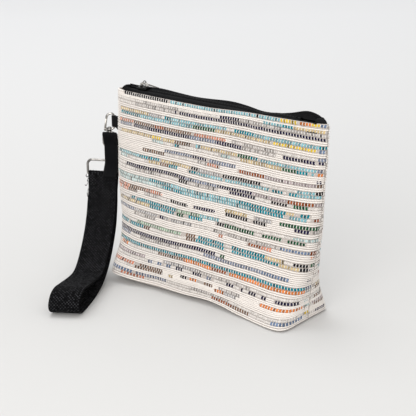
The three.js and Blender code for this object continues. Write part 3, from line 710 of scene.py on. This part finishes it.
# the weaver's plan, top band first: upper row, then lower row, as runs of yarn along the width
frontPlan = [
    ("",
     "black .055 .29 aqua .295 .70 black .67 .71 aqua .71 .80 yellow .80 .88 orange .88 .93 yellow .93 1"),
    ("ash .16 .34 navy .54 .63 ash .64 1", "ash .12 .32 navy .325 1"),
    ("tan .03 .20 grey .20 .27 teal .28 .31 aqua .31 .58 teal .60 .70 aqua .70 1",
     "teal .04 .11 aqua .11 .42 green .42 .52 tan .52 .78 yellow .78 1"),
    ("coral .03 .11 brown .12 .23 rust .23 .29 brown .29 .41 coral .42 .57 ash .60 .80",
     "lilac .03 .11 navy .11 .41 lilac .41 .53 navy .53 .64 ash .64 .80 navy .83 1"),
    ("tan .05 .22 yellow .22 .27 tan .27 .33 brown .33 .41 aqua .43 .46 tan .46 .63 "
     "green .63 .69 teal .69 .73 aqua .73 1",
     "pale .22 .28 teal .34 .36 pale .55 .60 tan .65 .83 green .83 .89 teal .89 .94 aqua .94 1"),
    ("lilac .29 .42 navy .42 .50 lilac .50 .63",
     "brown .18 .29 ash .45 .50 coral .50 .56 rust .64 .76 mauve .76 1"),
    ("aqua .04 .16 teal .16 .27 tan .27 .42 black .43 .46 grey .46 .56 black .57 .74 aqua .90 1",
     "pale .05 .10 tan .21 .27 brown .27 .31 teal .31 .36 teal .41 .45 aqua .45 .79 "
     "teal .79 .84 teal .86 .90 aqua .90 1"),
    ("navy .09 .40 lilac .40 .56 navy .56 .71 mauve .71 .86 rust .86 1",
     "ash .14 .28 black .38 .42 ash .42 .56 navy .61 .73 black .80 .86 green .89 .94"),
    ("pale .03 .22 teal .22 .31 aqua .31 .65 teal .65 .86 tan .86 .90 teal .92 .96",
     "pale .05 .29 teal .29 .39 aqua .39 .70 teal .70 .86 aqua .87 .95"),
    ("coral .01 .11 brown .12 .21 coral .21 .29 tan .60 .70 grey .73 .81 green .84 1",
     "coral .02 .10 brown .11 .16 ash .20 .28 black .33 .42 navy .45 .55 black .60 .70 "
     "black .72 .79 navy .90 1"),
    ("teal .12 .36 sage .37 .48 aqua .48 .57 pale .90 1",
     "tan .05 .23 teal .23 .36 green .37 .42 teal .43 .50 black .56 .60 green .60 .74 "
     "green .77 .85 green .87 .95"),
    ("lilac .02 .15 grey .15 .28 navy .28 .31 grey .31 .45 ash .55 .85 blue .85 1",
     "ash .15 .27 coral .58 .60 rust .71 .77 coral .77 .82"),
    ("sage .17 .41 brown .43 .47 teal .49 .61 teal .64 .79 tan .79 .87 black .91 .97",
     "teal .02 .21 brown .21 .24 brown .43 .47 teal .47 .61 teal .65 .85 tan .85 .93 black .93 .97"),
    ("navy .03 .58 green .59 .62", "lilac .05 .14 ash .20 .40 lilac .52 .78 blue .78 .90"),
    ("sage .01 .08 teal .08 1",
     "orange .02 .05 orange .10 .14 brown .30 .42 orange .42 .56 rust .56 .64 orange .64 1"),
    ("mauve .07 .24 grey .33 .49 ash .50 .75",
     "lilac .26 .28 blue .30 .33 blue .35 .37 navy .40 .43 navy .48 .52 lilac .54 .57 "
     "navy .64 .67 navy .70 .72 navy .74 .77 navy .80 .82 navy .85 .95"),
    ("coral .01 .20 brown .22 .33 black .42 .44 orange .455 .50 brown .52 .57 ash .60 .70 orange .79 1",
     "brown .20 .33 tan .36 .38 orange .58 .62 grey .62 .68"),
    ("blue .03 .20 lilac .20 .34 ash .45 .65", "coral .15 .24 rust .56 .66 brown .66 .74 blue .84 .97"),
    ("blue .02 .15 coral .60 .66", "ash .30 .60"),
]


def readPlan(text):
    words = text.split()
    return [(words[i], float(words[i + 1]), float(words[i + 2])) for i in range(0, len(words), 3)]


def backPlan(rng):
    names = [n for n in yarn if n not in ("fill", "white")]
    plan = []
    for band in range(weave["bands"] + 1):
        rows = []
        for row in range(2):
            at, words = rng.uniform(0.01, 0.12), []
            while at < 0.94:
                run = rng.choice((0.06, 0.1, 0.16, 0.24, 0.34))
                stop = min(0.98, at + run)
                if rng.random() < 0.78:
                    words.append(f"{rng.choice(names)} {at:.2f} {stop:.2f}")
                at = stop + rng.choice((0, 0, 0.03))
            rows.append(" ".join(words))
        plan.append(tuple(rows))
    return plan


def weaveRows(side, plan, rng):
    dashes, cords, warps = [], [], []
    tall = pouch["height"] / mm
    count = round(pouch["width"] / mm / weave["dashPitch"])
    firstU, lastU = weave["ends"]

    def bandOf(where):
        return (where - weave["firstRow"]) / weave["bandPitch"]

    def fallAt(u, band):
        late = max(0, (u - 0.45) / 0.55)
        fall = weave["droop"] * late ** 1.3 + weave["lowDroop"] * late ** 2 * bell(band - weave["lowBand"], 3)
        wave = 0.4 * math.sin(2 * math.pi * (1.3 * u + 0.08 * band))
        wave += 0.25 * math.sin(2 * math.pi * (3.1 * u + 0.11 * band))
        part = min(unit((16.6 - band) / 2), unit((band + 0.55) / 0.55))
        return fall * part + wave * unit((band + 0.6) / 2.5)

    def onCloth(z):
        return weave["lowest"] * mm < z < (tall - weave["topGap"]) * mm

    def lay(where, runs, shift):
        band = bandOf(where)
        lean, plump, lastRun = 0.0, 1.0, None
        for k in range(count):
            u = (k + 0.5 + shift) / count
            if not firstU < u < lastU:
                continue
            wobble = rng.uniform(-0.12, 0.12) * mm
            z = (tall - where - fallAt(u, band)) * mm
            if not onCloth(z):
                continue
            hit = next((r for r in runs if r[1] <= u + rng.uniform(-0.004, 0.004) <= r[2]), None)
            p, along, out = skinFrame(u, z + wobble, side)
            if side > 0:
                along = -along
            if hit != lastRun:
                lean = rng.choice((-0.34, -0.27, -0.2, -0.1, 0.12))
                plump = rng.uniform(0.82, 1.08)
                lastRun = hit
            if hit and rng.random() > 0.006:
                light = rng.uniform(0.48, 1.08) * (0.4 if rng.random() < 0.06 else 1)
                if hit[0] == "fill":
                    light = rng.uniform(0.88, 1.15)
                tint = tuple(min(1, c * light) for c in yarn[hit[0]])
                turn = turnOf(Matrix.Rotation(lean + rng.uniform(-0.08, 0.08), 3, out) @ along, out)
                beside = skinPoint(u + 0.5 / count, z + wobble, side)
                stretch = (rng.uniform(0.8, 1.2), 1, rng.uniform(0.9, 1.1))
                warps.append((beside, turn, stretch, yarn["white"]))
                stretch = (rng.uniform(0.86, 1.1), plump * rng.uniform(0.9, 1.06), rng.uniform(0.85, 1.1))
                dashes.append((p, turn, stretch, tint))

    def between(runs):
        spans, at = [], 0.0
        for name, start, stop in runs:
            spans.append((at, start))
            at = stop
        return spans + [(at, 1.0)]

    def thread(where, spans):
        band = bandOf(where)
        for start, stop in spans:
            steps = round((stop - start) * count)
            line, outs = [], []
            for k in range(steps + 1):
                u = min(lastU, max(firstU, start + (stop - start) * k / max(1, steps)))
                z = (tall - where - fallAt(u, band) + rng.uniform(-0.06, 0.06)) * mm
                if not onCloth(z):
                    break
                p, along, out = skinFrame(u, z, side)
                line.append(p + out * (0.06 if k % 2 else -0.06) * mm)
                outs.append(out)
            if len(line) > 3:
                cords.append((line, outs))

    def row(where, runs, shift):
        spans = [s for s in between(runs) if s[1] - s[0] > 0.01]
        filled = [s for s in spans if rng.random() < weave["fillShare"]]
        runs = runs + [("fill", start, stop) for start, stop in filled]
        if side < 0 and rng.random() < 0.75:
            runs = [r for r in runs if r[1] < weave["sideFrom"]]
            runs = [(name, start, min(stop, weave["sideFrom"])) for name, start, stop in runs]
            runs.append((rng.choice([n for n in yarn if n != "white"]), weave["sideFrom"] + 0.006, lastU))
        lay(where, runs, shift)
        for half in (-0.25, 0.25):
            thread(where + half * weave["rowPitch"], [s for s in spans if s not in filled])

    row(1.35, readPlan(plan[0][1]), 0.25)
    thread(3.3, [(0, 1)])
    thread(4.45, [(0, 0.74)])
    if side < 0:
        lay(4.4, readPlan("aqua .74 .82 teal .82 .86 tan .86 .99"), 0.0)
    for band in range(weave["bands"]):
        upper, lower = (readPlan(t) for t in plan[band + 1]) if band + 1 < len(plan) else ([], [])
        first = weave["firstRow"] + band * weave["bandPitch"]
        row(first, upper, 0.0)
        row(first + weave["rowPitch"], lower, 0.25)
        for k in range(2):
            thread(first + 1.5 * weave["rowPitch"] + (k + 0.5) * weave["threadPitch"], [(0, 1)])
    return dashes, cords, warps


def makePouch():
    dash = domeGrain("rag_dash", 8, 0.7, [(-0.5, 0.88), (0.1, 1.0), (0.42, 0.86), (0.6, 0.5)])
    lump = domeGrain("warp_lump", 6, 0.9, [(-0.2, 1.0), (0.55, 0.6)])
    plans = {-1: frontPlan, 1: backPlan(random.Random(weave["seed"]))}
    wide, top = pouch["cutWidth"], pouch["height"]
    for side, word in ((-1, "front"), (1, "back")):
        # the outer cloth takes the ground finish, whose darker colour is painted shade between the rows
        cloth, clothSize = sheetPiece(
            word + "_cloth", side, weave["sink"], pouch["cloth"] - weave["sink"], "ground", top,
            word + "_panel")
        inner, innerSize = sheetPiece(
            word + "_lining_cloth", side, pouch["liningGap"], pouch["lining"], "lining",
            top - pouch["liningDrop"], word + "_lining")
        dashes, cords, warps = weaveRows(side, plans[side], random.Random(weave["seed"] + side))
        lines, outs = zip(*cords)
        sizes = [s * mm for s in weave["cord"]]
        onCloth = [sweep(word + "_weft_rows", lines, outs, sizes, "cream", steps=1)]
        for name, places, grain, sizes in (
                (word + "_rag_rows", dashes, dash, weave["dash"]),
                (word + "_warp_lines", warps, lump, weave["warp"])):
            onCloth.append(scatter(name, places, grain, [s * mm for s in sizes], "yarn", 0.1, 3))
        for made in onCloth:
            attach(made, "pouch")
            print("rows laid", made.name, "tris", sum(len(f.vertices) - 2 for f in made.data.polygons))
        clothSize / wide
        innerSize / wide


makePouch()


# zip: two tapes over a soft ridge, moulded teeth, stops, end folds

zipper = {
    "rise": 2.2, "tape": 0.7, "hem": 9.0, "end": 8.6, "crest": 5.7, "floor": 4.6, "chainHalf": 2.3,
    "dip": 1.8, "dipAt": 47.0, "dipWide": 12.0, "pitch": 3.0, "slider": -78.0, "stop": 83.3,
    "tooth": (1.25, 3.3, 1.8), "toothAt": 0.55, "bead": 0.75, "beadAt": 1.8,
    "lip": 1.1, "lipEnd": 109, "lipFade": 10,
    "lipWave": [(-64, 14, 0.9), (-25, 17, -0.9), (11, 14, 0.9), (49, 15, -3.2), (90, 14, 4.6)],
    "endFall": 4.5, "endStart": {"left": 0.12, "right": 0.45}, "endRise": {"left": 0.5, "right": 1.9},
}


def dipAt(x):
    return -zipper["dip"] * bell(x - zipper["dipAt"], zipper["dipWide"])


def lipAt(x):
    lip = zipper["lip"] + sum(rise * bell(x - middle, wide) for middle, wide, rise in zipper["lipWave"])
    return lip * smoothStep((zipper["lipEnd"] - abs(x)) / zipper["lipFade"])


def mouthHalf(x, inset):
    power = pouch["mouthSquare"]
    wide = pouch["width"] / 2 / mm - inset
    along = min(1, (abs(x) / wide) ** power)
    return (pouch["mouthDepth"] / 2 / mm - inset) * (1 - along) ** (1 / power)


def tapeProfile(x, side):
    wall = mouthHalf(x, 1.2)
    edge = (pouch["height"] + topLift(x * mm, side)) / mm
    here = x + shiftAt(x * mm, pouch["height"]) / mm
    level = pouch["height"] / mm + zipper["rise"]
    chain = level + dipAt(here)
    lip = max(level + lipAt(here), chain + 0.2) if side > 0 else chain + 0.15
    crest = max(zipper["crest"], wall - zipper["hem"] / 4)
    line = [(wall, edge - zipper["hem"]), (wall, edge - 3), (wall - 0.05, edge)]
    for k in range(1, 7):
        t = k / 6
        line.append((blend(wall, crest, t ** 1.3), blend(edge, lip, math.sin(t * math.pi / 2))))
    for k in range(1, 4):
        t = k / 3
        line.append((blend(crest, zipper["floor"], t), blend(chain + 0.1, lip, 1 - t * t)))
    return line + [(zipper["chainHalf"] + gap, chain + 0.1) for gap in (0.9, 0.2)]


def makeTape(side, word):
    stations = 120
    reach = pouch["width"] / 2 / mm - zipper["end"]
    verts, uvs = [], []
    for i in range(stations + 1):
        x = -reach + 2 * reach * i / stations
        profile = tapeProfile(x, side)
        for (y, z), run in zip(profile, runOf(profile)):
            verts.append(Vector((x * mm + shiftAt(x * mm, z * mm), side * y * mm, z * mm)))
            uvs.append((x * mm, run * mm))
    faces = sidedFaces(stations, len(profile), side)
    made = meshObject("zip_tape_" + word + "_cloth", verts, faces, "tape", uvs)
    thicken(made, zipper["tape"] * mm, -1)
    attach(made, "pouch")
    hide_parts("zip_tape_" + word)
    long, area = 2 * reach * mm, clothArea(verts, faces)
    area / long


def toothGrain():
    work = bmesh.new()
    bmesh.ops.create_cube(work, size=1)
    bmesh.ops.bevel(work, geom=work.edges[:], offset=0.16, segments=1, affect="EDGES")
    mesh = bpy.data.meshes.new("tooth")
    work.to_mesh(mesh)
    work.free()
    return bpy.data.objects.new("tooth", mesh)


def makeTeeth(side, word, tooth):
    places = []
    x = zipper["slider"] + 0.9 + (zipper["pitch"] / 2 if side > 0 else 0)
    chain = pouch["height"] / mm + zipper["rise"]
    while x + 1.2 < zipper["stop"] - 0.6:
        middle = Vector((x + 0.6, side * zipper["toothAt"], chain + dipAt(x))) * mm
        places.append((middle, (0, 0, 0), (1, 1, 1), (0.01, 0.01, 0.01)))
        x += zipper["pitch"]
    made = scatter("zip_teeth_" + word + "_row", places, tooth, [s * mm for s in zipper["tooth"]], "nylon")
    bead = []
    for i in range(121):
        x = zipper["slider"] + (zipper["stop"] - zipper["slider"]) * i / 120
        bead.append(Vector((x, side * zipper["beadAt"], chain + dipAt(x))) * mm)
    cord = wire("zip_bead_" + word, [bead], [(0, 0, 1)], zipper["bead"] * mm, "nylon", steps=2)
    for piece in (made, cord):
        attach(piece, "pouch")
    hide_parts("zip_teeth_" + word)


def polished(node, body, name, bevel, finish="nickel"):
    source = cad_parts[node]
    mesh = source.data.copy()
    mesh.transform(source.matrix_world)
    made = linked(name, mesh)
    work = bmesh.new()
    work.from_mesh(mesh)
    bmesh.ops.remove_doubles(work, verts=work.verts, dist=1e-6)
    bmesh.ops.dissolve_limit(work, angle_limit=math.radians(1), verts=work.verts, edges=work.edges)
    work.to_mesh(mesh)
    work.free()
    mesh.materials.clear()
    mesh.materials.append(finishes[finish])
    edge = made.modifiers.new("edge", "BEVEL")
    edge.width = bevel * mm
    edge.segments = 2
    edge.limit_method = "ANGLE"
    edge.angle_limit = math.radians(35)
    edge.use_clamp_overlap = True
    settle(made)
    made.data.shade_smooth()
    made.data.set_sharp_from_angle(angle=math.radians(40))
    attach(made, body)
    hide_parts(node)


def makeEndFold(side, word):
    low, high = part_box("zip_end_tab_" + word)
    inner, outer = (high[0], low[0]) if side < 0 else (low[0], high[0])
    verts = []
    rings, corners = 14, 16
    for i in range(rings + 1):
        t = i / rings
        x = blend(inner, outer, t)
        room = max(0.8, mouthHalf(x / mm, 1.6)) * mm
        fall = unit((t - zipper["endStart"][word]) / 0.5)
        drop = zipper["endFall"] * (1 - math.sqrt(1 - fall * fall))
        top = high[2] + (zipper["endRise"][word] - drop) * mm
        middle, half = (top + low[2]) / 2, (top - low[2]) / 2
        close = math.sqrt(max(0.02, 1 - max(0, (t - 0.86) / 0.14) ** 2))
        for s in range(corners):
            angle = 2 * math.pi * s / corners
            y = squared(math.cos(angle), 0.6) * room * close
            z = middle + squared(math.sin(angle), 0.6) * half * close
            verts.append(Vector((x + shiftAt(x, z), y, z)))
    uvs = [(v.x, v.z) for v in verts]
    made = meshObject("zip_end_fold_" + word, verts, loftFaces(rings + 1, corners), "tape", uvs)
    faceOut(made)
    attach(made, "pouch")
    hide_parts("zip_end_tab_" + word)


def makeZip():
    tooth = toothGrain()
    for side, word in ((-1, "front"), (1, "back")):
        makeTape(side, word)
        makeTeeth(side, word, tooth)
    for side, word in ((-1, "left"), (1, "right")):
        makeEndFold(side, word)
        polished("zip_stop_" + word, "pouch", "zip_stop_" + word + "_clip", 0.3, "nylon")
    polished("zip_slider", "slider", "slider_body", 0.3, "slider")
    polished("zip_pull", "pull", "slider_pull", 0.25, "dim")
    print("zip made")


makeZip()


# hook, eye and ring, about the swivel axis

hang = {
    "limbX": -114.971, "limbOffset": 4.2, "hookTurn": 40, "strapTurn": 25, "hubZ": 131.1, "clear": 0.3,
    "eyeHalf": 7.25, "eyeDrop": 16.7, "eyeCorner": 3.0, "eyeShoulder": 5.2, "eyeWire": 0.85, "eyeRoot": -3.7,
    "eyeShift": 1.2, "barSpacing": 13.4, "ringWire": 1.15, "ringHeight": 13.2, "ringCorner": 4.6,
    "ringFoot": 1.4, "ringShift": -7.08, "ringHalf": 14.7, "strapShift": -7.45,
    "post": [  # height and radius of the post's rings
        (-4.7, 1.2), (-4.5, 1.65), (-3.0, 1.7), (-2.75, 1.5), (-2.72, 1.0),
        (0.3, 1.0), (0.32, 1.7), (0.5, 1.8), (0.8, 1.65), (1.0, 1.1),
    ],
}
hookTurn, strapTurn = math.radians(hang["hookTurn"]), math.radians(hang["strapTurn"])
swivelX = hang["limbX"] - hang["limbOffset"] * math.cos(hookTurn)
swivelY = -hang["limbOffset"] * math.sin(hookTurn)
sideways = Vector((math.cos(strapTurn), math.sin(strapTurn), 0))
forward = Vector((math.sin(strapTurn), -math.cos(strapTurn), 0))
eyeBarZ = hang["hubZ"] - hang["eyeDrop"]
ringTopZ = eyeBarZ - hang["barSpacing"]
ringFootZ = ringTopZ - hang["ringHeight"]


def hungPoint(across, ahead, z):
    return (Vector((swivelX, swivelY, 0)) + sideways * across + forward * ahead + Vector((0, 0, z))) * mm


def bend(x, z, radius, start, stop):
    turns = [blend(start, stop, i / 8) for i in range(9)]
    return [(x + radius * math.cos(turn), z + radius * math.sin(turn)) for turn in turns]


def makeEye():
    half, corner, root, side = (hang[k] for k in ("eyeHalf", "eyeCorner", "eyeRoot", "eyeShift"))
    low, shoulder = corner - hang["eyeDrop"], -hang["eyeShoulder"] - corner
    neck = (root - hang["eyeShoulder"]) / 2
    line = [(0, root), ((side - half) / 2, neck), (side - half, shoulder)]
    line += bend(side - half + corner, low, corner, math.pi, 1.5 * math.pi)
    line += bend(side + half - corner, low, corner, -math.pi / 2, 0)
    line += [(side + half, shoulder), ((side + half) / 2, neck), (0, root)]
    path = smoothLine([hungPoint(x, 0, hang["hubZ"] + z) for x, z in line], 5)
    loop = wire("eye_wire", [path], [forward], hang["eyeWire"] * mm, "nickel")
    verts, corners = [], 24
    for z, r in hang["post"]:
        for s in range(corners):
            angle = 2 * math.pi * s / corners
            verts.append(hungPoint(r * math.cos(angle), r * math.sin(angle), hang["hubZ"] + z))
    post = meshObject("eye_post", verts, loftFaces(len(hang["post"]), corners), "nickel")
    faceOut(post)
    post.data.set_sharp_from_angle(angle=math.radians(45))
    for piece in (loop, post):
        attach(piece, "eye")
    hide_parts("swivel_eye")


def makeRing():
    half, high = hang["ringHalf"], hang["ringHeight"] / 2
    line = []
    for i, (across, up) in enumerate(((1, 1), (-1, 1), (-1, -1), (1, -1))):
        corner = hang["ringCorner"] if up > 0 else hang["ringFoot"]
        start = i * math.pi / 2
        line += bend(across * (half - corner), up * (high - corner), corner, start, start + math.pi / 2)
    path = [hungPoint(hang["ringShift"] + x, 0, ringTopZ - high + z) for x, z in line]
    made = wire("ring_wire", [path], [forward], hang["ringWire"] * mm, "nickel", closed=True)
    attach(made, "ring")
    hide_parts("strap_ring")


def makeHook():
    polished("hook_body", "hook", "hook_claw", 0.2)
    polished("hook_gate", "gate", "hook_gate_bar", 0.25, "dim")
    polished("hook_gate_pin", "hook", "hook_gate_rivet", 0.1)
    makeEye()
    makeRing()
    print("hook made")


makeHook()


# side tab: black tape round the hook's limb, sewn into the side seam

sideTab = {
    "bottom": 132.5, "height": 9.7, "tape": 0.8, "bore": 1.3, "seam": 111.17, "rootDrop": 3.4,
    "inSeam": 1.2, "neck": 3.0, "apart": (0.42, 0.45), "open": 40, "rows": 10,
}


def makeSideTab():
    shift = shiftAt(-sideTab["seam"] * mm, (sideTab["bottom"] + sideTab["height"] / 2) * mm)
    root = -sideTab["seam"] + sideTab["inSeam"] + shift / mm
    middle = sideTab["bore"] + sideTab["tape"] / 2
    x0, neck, rows = hang["limbX"], sideTab["neck"], sideTab["rows"]
    rootY, neckY = sideTab["apart"]
    start = math.radians(sideTab["open"])
    line = [(root, rootY), (x0 + neck, neckY)]
    for i in range(15):
        angle = start + (2 * math.pi - 2 * start) * i / 14
        line.append((x0 + middle * math.cos(angle), middle * math.sin(angle)))
    line += [(x0 + neck, -neckY), (root, -rootY)]
    path = smoothLine([Vector((x, y, 0)) for x, y in line], 3)
    verts, uvs = [], []
    for r in range(rows + 1):
        z = sideTab["bottom"] + sideTab["height"] * r / rows
        for p, run in zip(path, runOf(path)):
            rooted = unit((p.x - x0 - neck / 2) / (root - x0 - neck))
            low = z - sideTab["rootDrop"] * rooted * (1 - r / rows)
            verts.append(Vector((p.x, p.y, low)) * mm)
            uvs.append((run * mm, low * mm))
    faces = gridFaces(rows, len(path))
    made = meshObject("side_tab_tape", verts, faces, "tape", uvs)
    thicken(made, sideTab["tape"] * 0.9 * mm, 0)
    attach(made, "pouch")
    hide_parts("side_tab")
    wide, area = sideTab["height"] * mm + 0.002, clothArea(verts, faces)


makeSideTab()


# ribbon: a slack loop round the eye's and the ring's bars

ribbon = {
    "width": 12.2, "shift": 1.25, "head": 12.0, "foot": 12.0, "headCurl": 4.5, "footCurl": 9.0,
    "power": 1.3, "thick": 0.6, "rows": 10,
}


def stripOutline(points, half):
    count = len(points)
    normals = []
    for i in range(count):
        along = (points[min(count - 1, i + 1)] - points[max(0, i - 1)]).normalized()
        normals.append(Vector((-along.y, along.x)) * half)
    left = [p + n for p, n in zip(points, normals)]
    right = [p - n for p, n in zip(points, normals)][::-1]

    def cap(i):
        made = []
        for s in range(1, 8):
            n = normals[i].copy()
            n.rotate(Matrix.Rotation(-math.pi * s / 8, 2))
            made.append(points[i] + (n if i else -n))
        return made

    return left + cap(count - 1) + right + cap(0)


def makeRibbon():
    reach, power, rows = hang["ringWire"] + hang["clear"], ribbon["power"], ribbon["rows"]
    head, foot = eyeBarZ + ribbon["head"], ringTopZ - ribbon["foot"]
    top, low = eyeBarZ + reach, ringTopZ - reach
    line = []
    for i in range(31):
        z = foot + (head - foot) * i / 30
        over = max(0, (z - top) / (head - top))
        under = max(0, (low - z) / (low - foot))
        line.append(Vector((ribbon["headCurl"] * over ** power + ribbon["footCurl"] * under ** power, z)))
    loop = stripOutline(line, reach + ribbon["thick"] / 2)
    verts, uvs = [], []
    for r in range(rows + 1):
        across = ribbon["width"] * (r / rows - 0.5)
        for p, run in zip(loop, runOf(loop)):
            verts.append(hungPoint(ribbon["shift"] + across, p.x, p.y))
            uvs.append((across * mm, run * mm))
    faces = gridFaces(rows, len(loop), True)
    made = meshObject("swivel_ribbon", verts, faces, "ribbon", uvs)
    thicken(made, ribbon["thick"] * mm, 0)
    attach(made, "ribbon")
    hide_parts("ribbon_loop")
    wide, area = ribbon["width"] * mm, clothArea(verts, faces)


makeRibbon()


# wrist strap: one band of webbing round the ring and out to the floor

strap = {
    "width": 26.8, "thick": 1.5, "twist": 6.0, "twistFrom": 25, "twistOver": 90,
    "line": [  # forward and up, from the ring's front down to the tip and back under
        (2.2, 87.8), (2.6, 81.5), (3.6, 73.8), (7.2, 65.2), (12.1, 53), (20.5, 39.9), (33.8, 26), (48.3, 16),
        (62.8, 13.8), (90.6, 17.3), (105, 19), (115.9, 16), (120.75, 8.6), (115.9, 2.5), (103.8, 1),
        (79.7, 1.2), (51.9, 6), (30.2, 19), (12.1, 39.9), (4.8, 58.2), (2, 73.8), (-0.8, 81.5), (-2.2, 87.8),
    ],
    "loose": [  # threads at the ring: sideways, forward and up
        [(-20.2, 2.4, 86.5), (-22.0, 3.0, 85.2), (-22.9, 2.6, 86.6), (-22.2, 2.2, 88.0)],
        [(-20.2, 2.6, 82.6), (-21.6, 3.2, 79.4), (-23.0, 2.8, 77.2), (-24.4, 2.4, 77.4)],
        [(-20.2, 2.8, 76.0), (-21.6, 3.4, 73.0), (-22.2, 3.6, 70.5), (-21.9, 3.8, 67.0)],
        [(-20.2, 2.4, 84.6), (-21.4, 3.0, 83.4), (-21.8, 2.8, 81.0)],
    ],
    "looseWire": 0.4, "edge": 0.5, "margin": 1.2,
    # tone: how much lighter the bumps are painted than the band, a painted highlight
    "rib": 1.3, "column": 1.35, "bump": (1.5, 1.25, 0.5), "bumpAt": 0.62, "tone": 0.03, "seed": 5,
}


def strapPath():
    fold = hang["ringWire"] + hang["clear"] + strap["thick"] / 2
    drop = strap["line"][0][1] - ringFootZ
    loop = smoothLine([Vector((f, z - drop)) for f, z in strap["line"]], 10)
    for i in range(1, 14):
        turn = math.pi * i / 14
        loop.append(Vector((-fold * math.cos(turn), ringFootZ + fold * math.sin(turn))))
    loop.append(loop[0])
    total = sum((b - a).length for a, b in zip(loop, loop[1:]))
    even = evenly(loop, round(total / strap["rib"]))
    return [Vector(p) for p in even[:-1]], total


def strapPoint(across, ahead, z):
    turn = math.radians(strap["twist"]) * unit((ahead - strap["twistFrom"]) / strap["twistOver"])
    return hungPoint(hang["strapShift"] + across * math.cos(turn), ahead - across * math.sin(turn), z)


def makeStrap():
    path, total = strapPath()
    half = strap["width"] / 2
    frames, middles, sides = [], [], []
    for i, p in enumerate(path):
        along = (path[(i + 1) % len(path)] - path[i - 1]).normalized()
        frames.append((p, Vector((-along.y, along.x))))
        middles.append(strapPoint(0, p.x, p.y))
        sides.append((strapPoint(half, p.x, p.y) - strapPoint(-half, p.x, p.y)).normalized())
    sizes = (strap["width"] * mm, 0.9 * strap["thick"] * mm, strap["edge"] * mm)
    band = sweep("strap_band", [middles], [sides], sizes, "web", closed=True)
    places = []
    rng = random.Random(strap["seed"])
    columns = round((strap["width"] - strap["margin"]) / strap["column"])
    for i, (p, out) in enumerate(frames):
        for face in (1, -1):
            for c in range(columns):
                if (c + i) % 2:
                    continue
                across = (c + 0.5 - columns / 2) * strap["column"]
                q = p + out * face * strap["bumpAt"]
                where = strapPoint(across, q.x, q.y)
                normal = (forward * out.x + Vector((0, 0, out.y))) * face
                turn = turnOf(strapPoint(across + 0.5, q.x, q.y) - where, normal)
                # each bump is painted lighter than the band: painted highlight on the raised weave, varied at
                # random
                tone = strap["tone"] * rng.uniform(0.05, 1.7)
                stretch = (1, rng.uniform(0.95, 1.25), rng.uniform(0.8, 1.1))
                places.append((where, turn, stretch, (tone, tone, tone * 1.08)))
    bump = domeGrain("web_bump", 6, 0.75, [(-0.2, 1.0), (0.4, 0.86), (0.62, 0.4)])
    ribs = scatter("strap_weave", places, bump, [s * mm for s in strap["bump"]], "bumpHighlight", 0.08, 2)
    print("strap bumps", len(places), "loop", round(total), "mm")
    loose = [smoothLine([hungPoint(*p) for p in line], 6) for line in strap["loose"]]
    radius = strap["looseWire"] * mm
    threads = wire("strap_threads", loose, [(0, 0, 1)] * len(loose), radius, "web", steps=1)
    for piece in (band, ribs, threads):
        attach(piece, "strap")
    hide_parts("wrist_strap")


makeStrap()


# stage: pale floor painted lighter towards the back as painted light, soft studio light

light = {
    "key": 10.0, "keyAt": (-0.6, 0.15, 1.7), "front": 24.5, "frontAt": (0.7, -1.68, 0.65),
    "aim": (0, 0, 0.07), "horizon": 0.45, "overhead": 0.95, "overheadFrom": 0.6,
    "floor": (0.625, 0.62, 0.61), "far": (0.75, 0.752, 0.757), "nearDepth": 0.1, "farDepth": 1.2,
}


def makeLamp(name, size, color):
    data = bpy.data.lights.new(name, "AREA")
    data.shape = "DISK"
    data.size = size
    data.energy = light[name]
    data.color = color
    made = linked(name, data)
    made.location = light[name + "At"]
    made.rotation_euler = (Vector(light["aim"]) - made.location).to_track_quat("-Z", "Y").to_euler()


def makeStage():
    verts = [(-6, -6, 0), (6, -6, 0), (6, 6, 0), (-6, 6, 0)]
    floor = meshObject("floor", verts, [(0, 1, 2, 3)])
    shop = Shop("pale_floor")
    turn = math.radians(view["azimuth"])
    # the floor runs from the near tone to a lighter far tone with depth: painted light where the lamps reach
    # less
    depth = shop.place(1) * math.cos(turn) - shop.place(0) * math.sin(turn)
    share = shop.spread(depth, light["nearDepth"], light["farDepth"])
    tone = shop.mix(share, light["floor"], light["far"])
    floor.data.materials.append(shop.set(color=tone, rough=0.9, specular=0.1))
    makeLamp("key", 1.1, (0.97, 0.985, 1))
    makeLamp("front", 1.6, (1, 0.985, 0.965))
    world = bpy.data.worlds.new("studio")
    scene.world = world
    world.use_nodes = True
    sky = world.node_tree
    where = addNode(sky, "ShaderNodeTexCoord", {}, {})
    parts = addNode(sky, "ShaderNodeSeparateXYZ", {}, {0: where.outputs["Generated"]})
    ramp = addNode(sky, "ShaderNodeValToRGB", {}, {0: parts.outputs["Z"]})
    low, high = ramp.color_ramp.elements
    low.color = [light["horizon"]] * 3 + [1]
    high.color = [light["overhead"]] * 3 + [1]
    high.position = light["overheadFrom"]
    sky.links.new(ramp.outputs[0], sky.nodes["Background"].inputs[0])
    print("stage set")


makeStage()
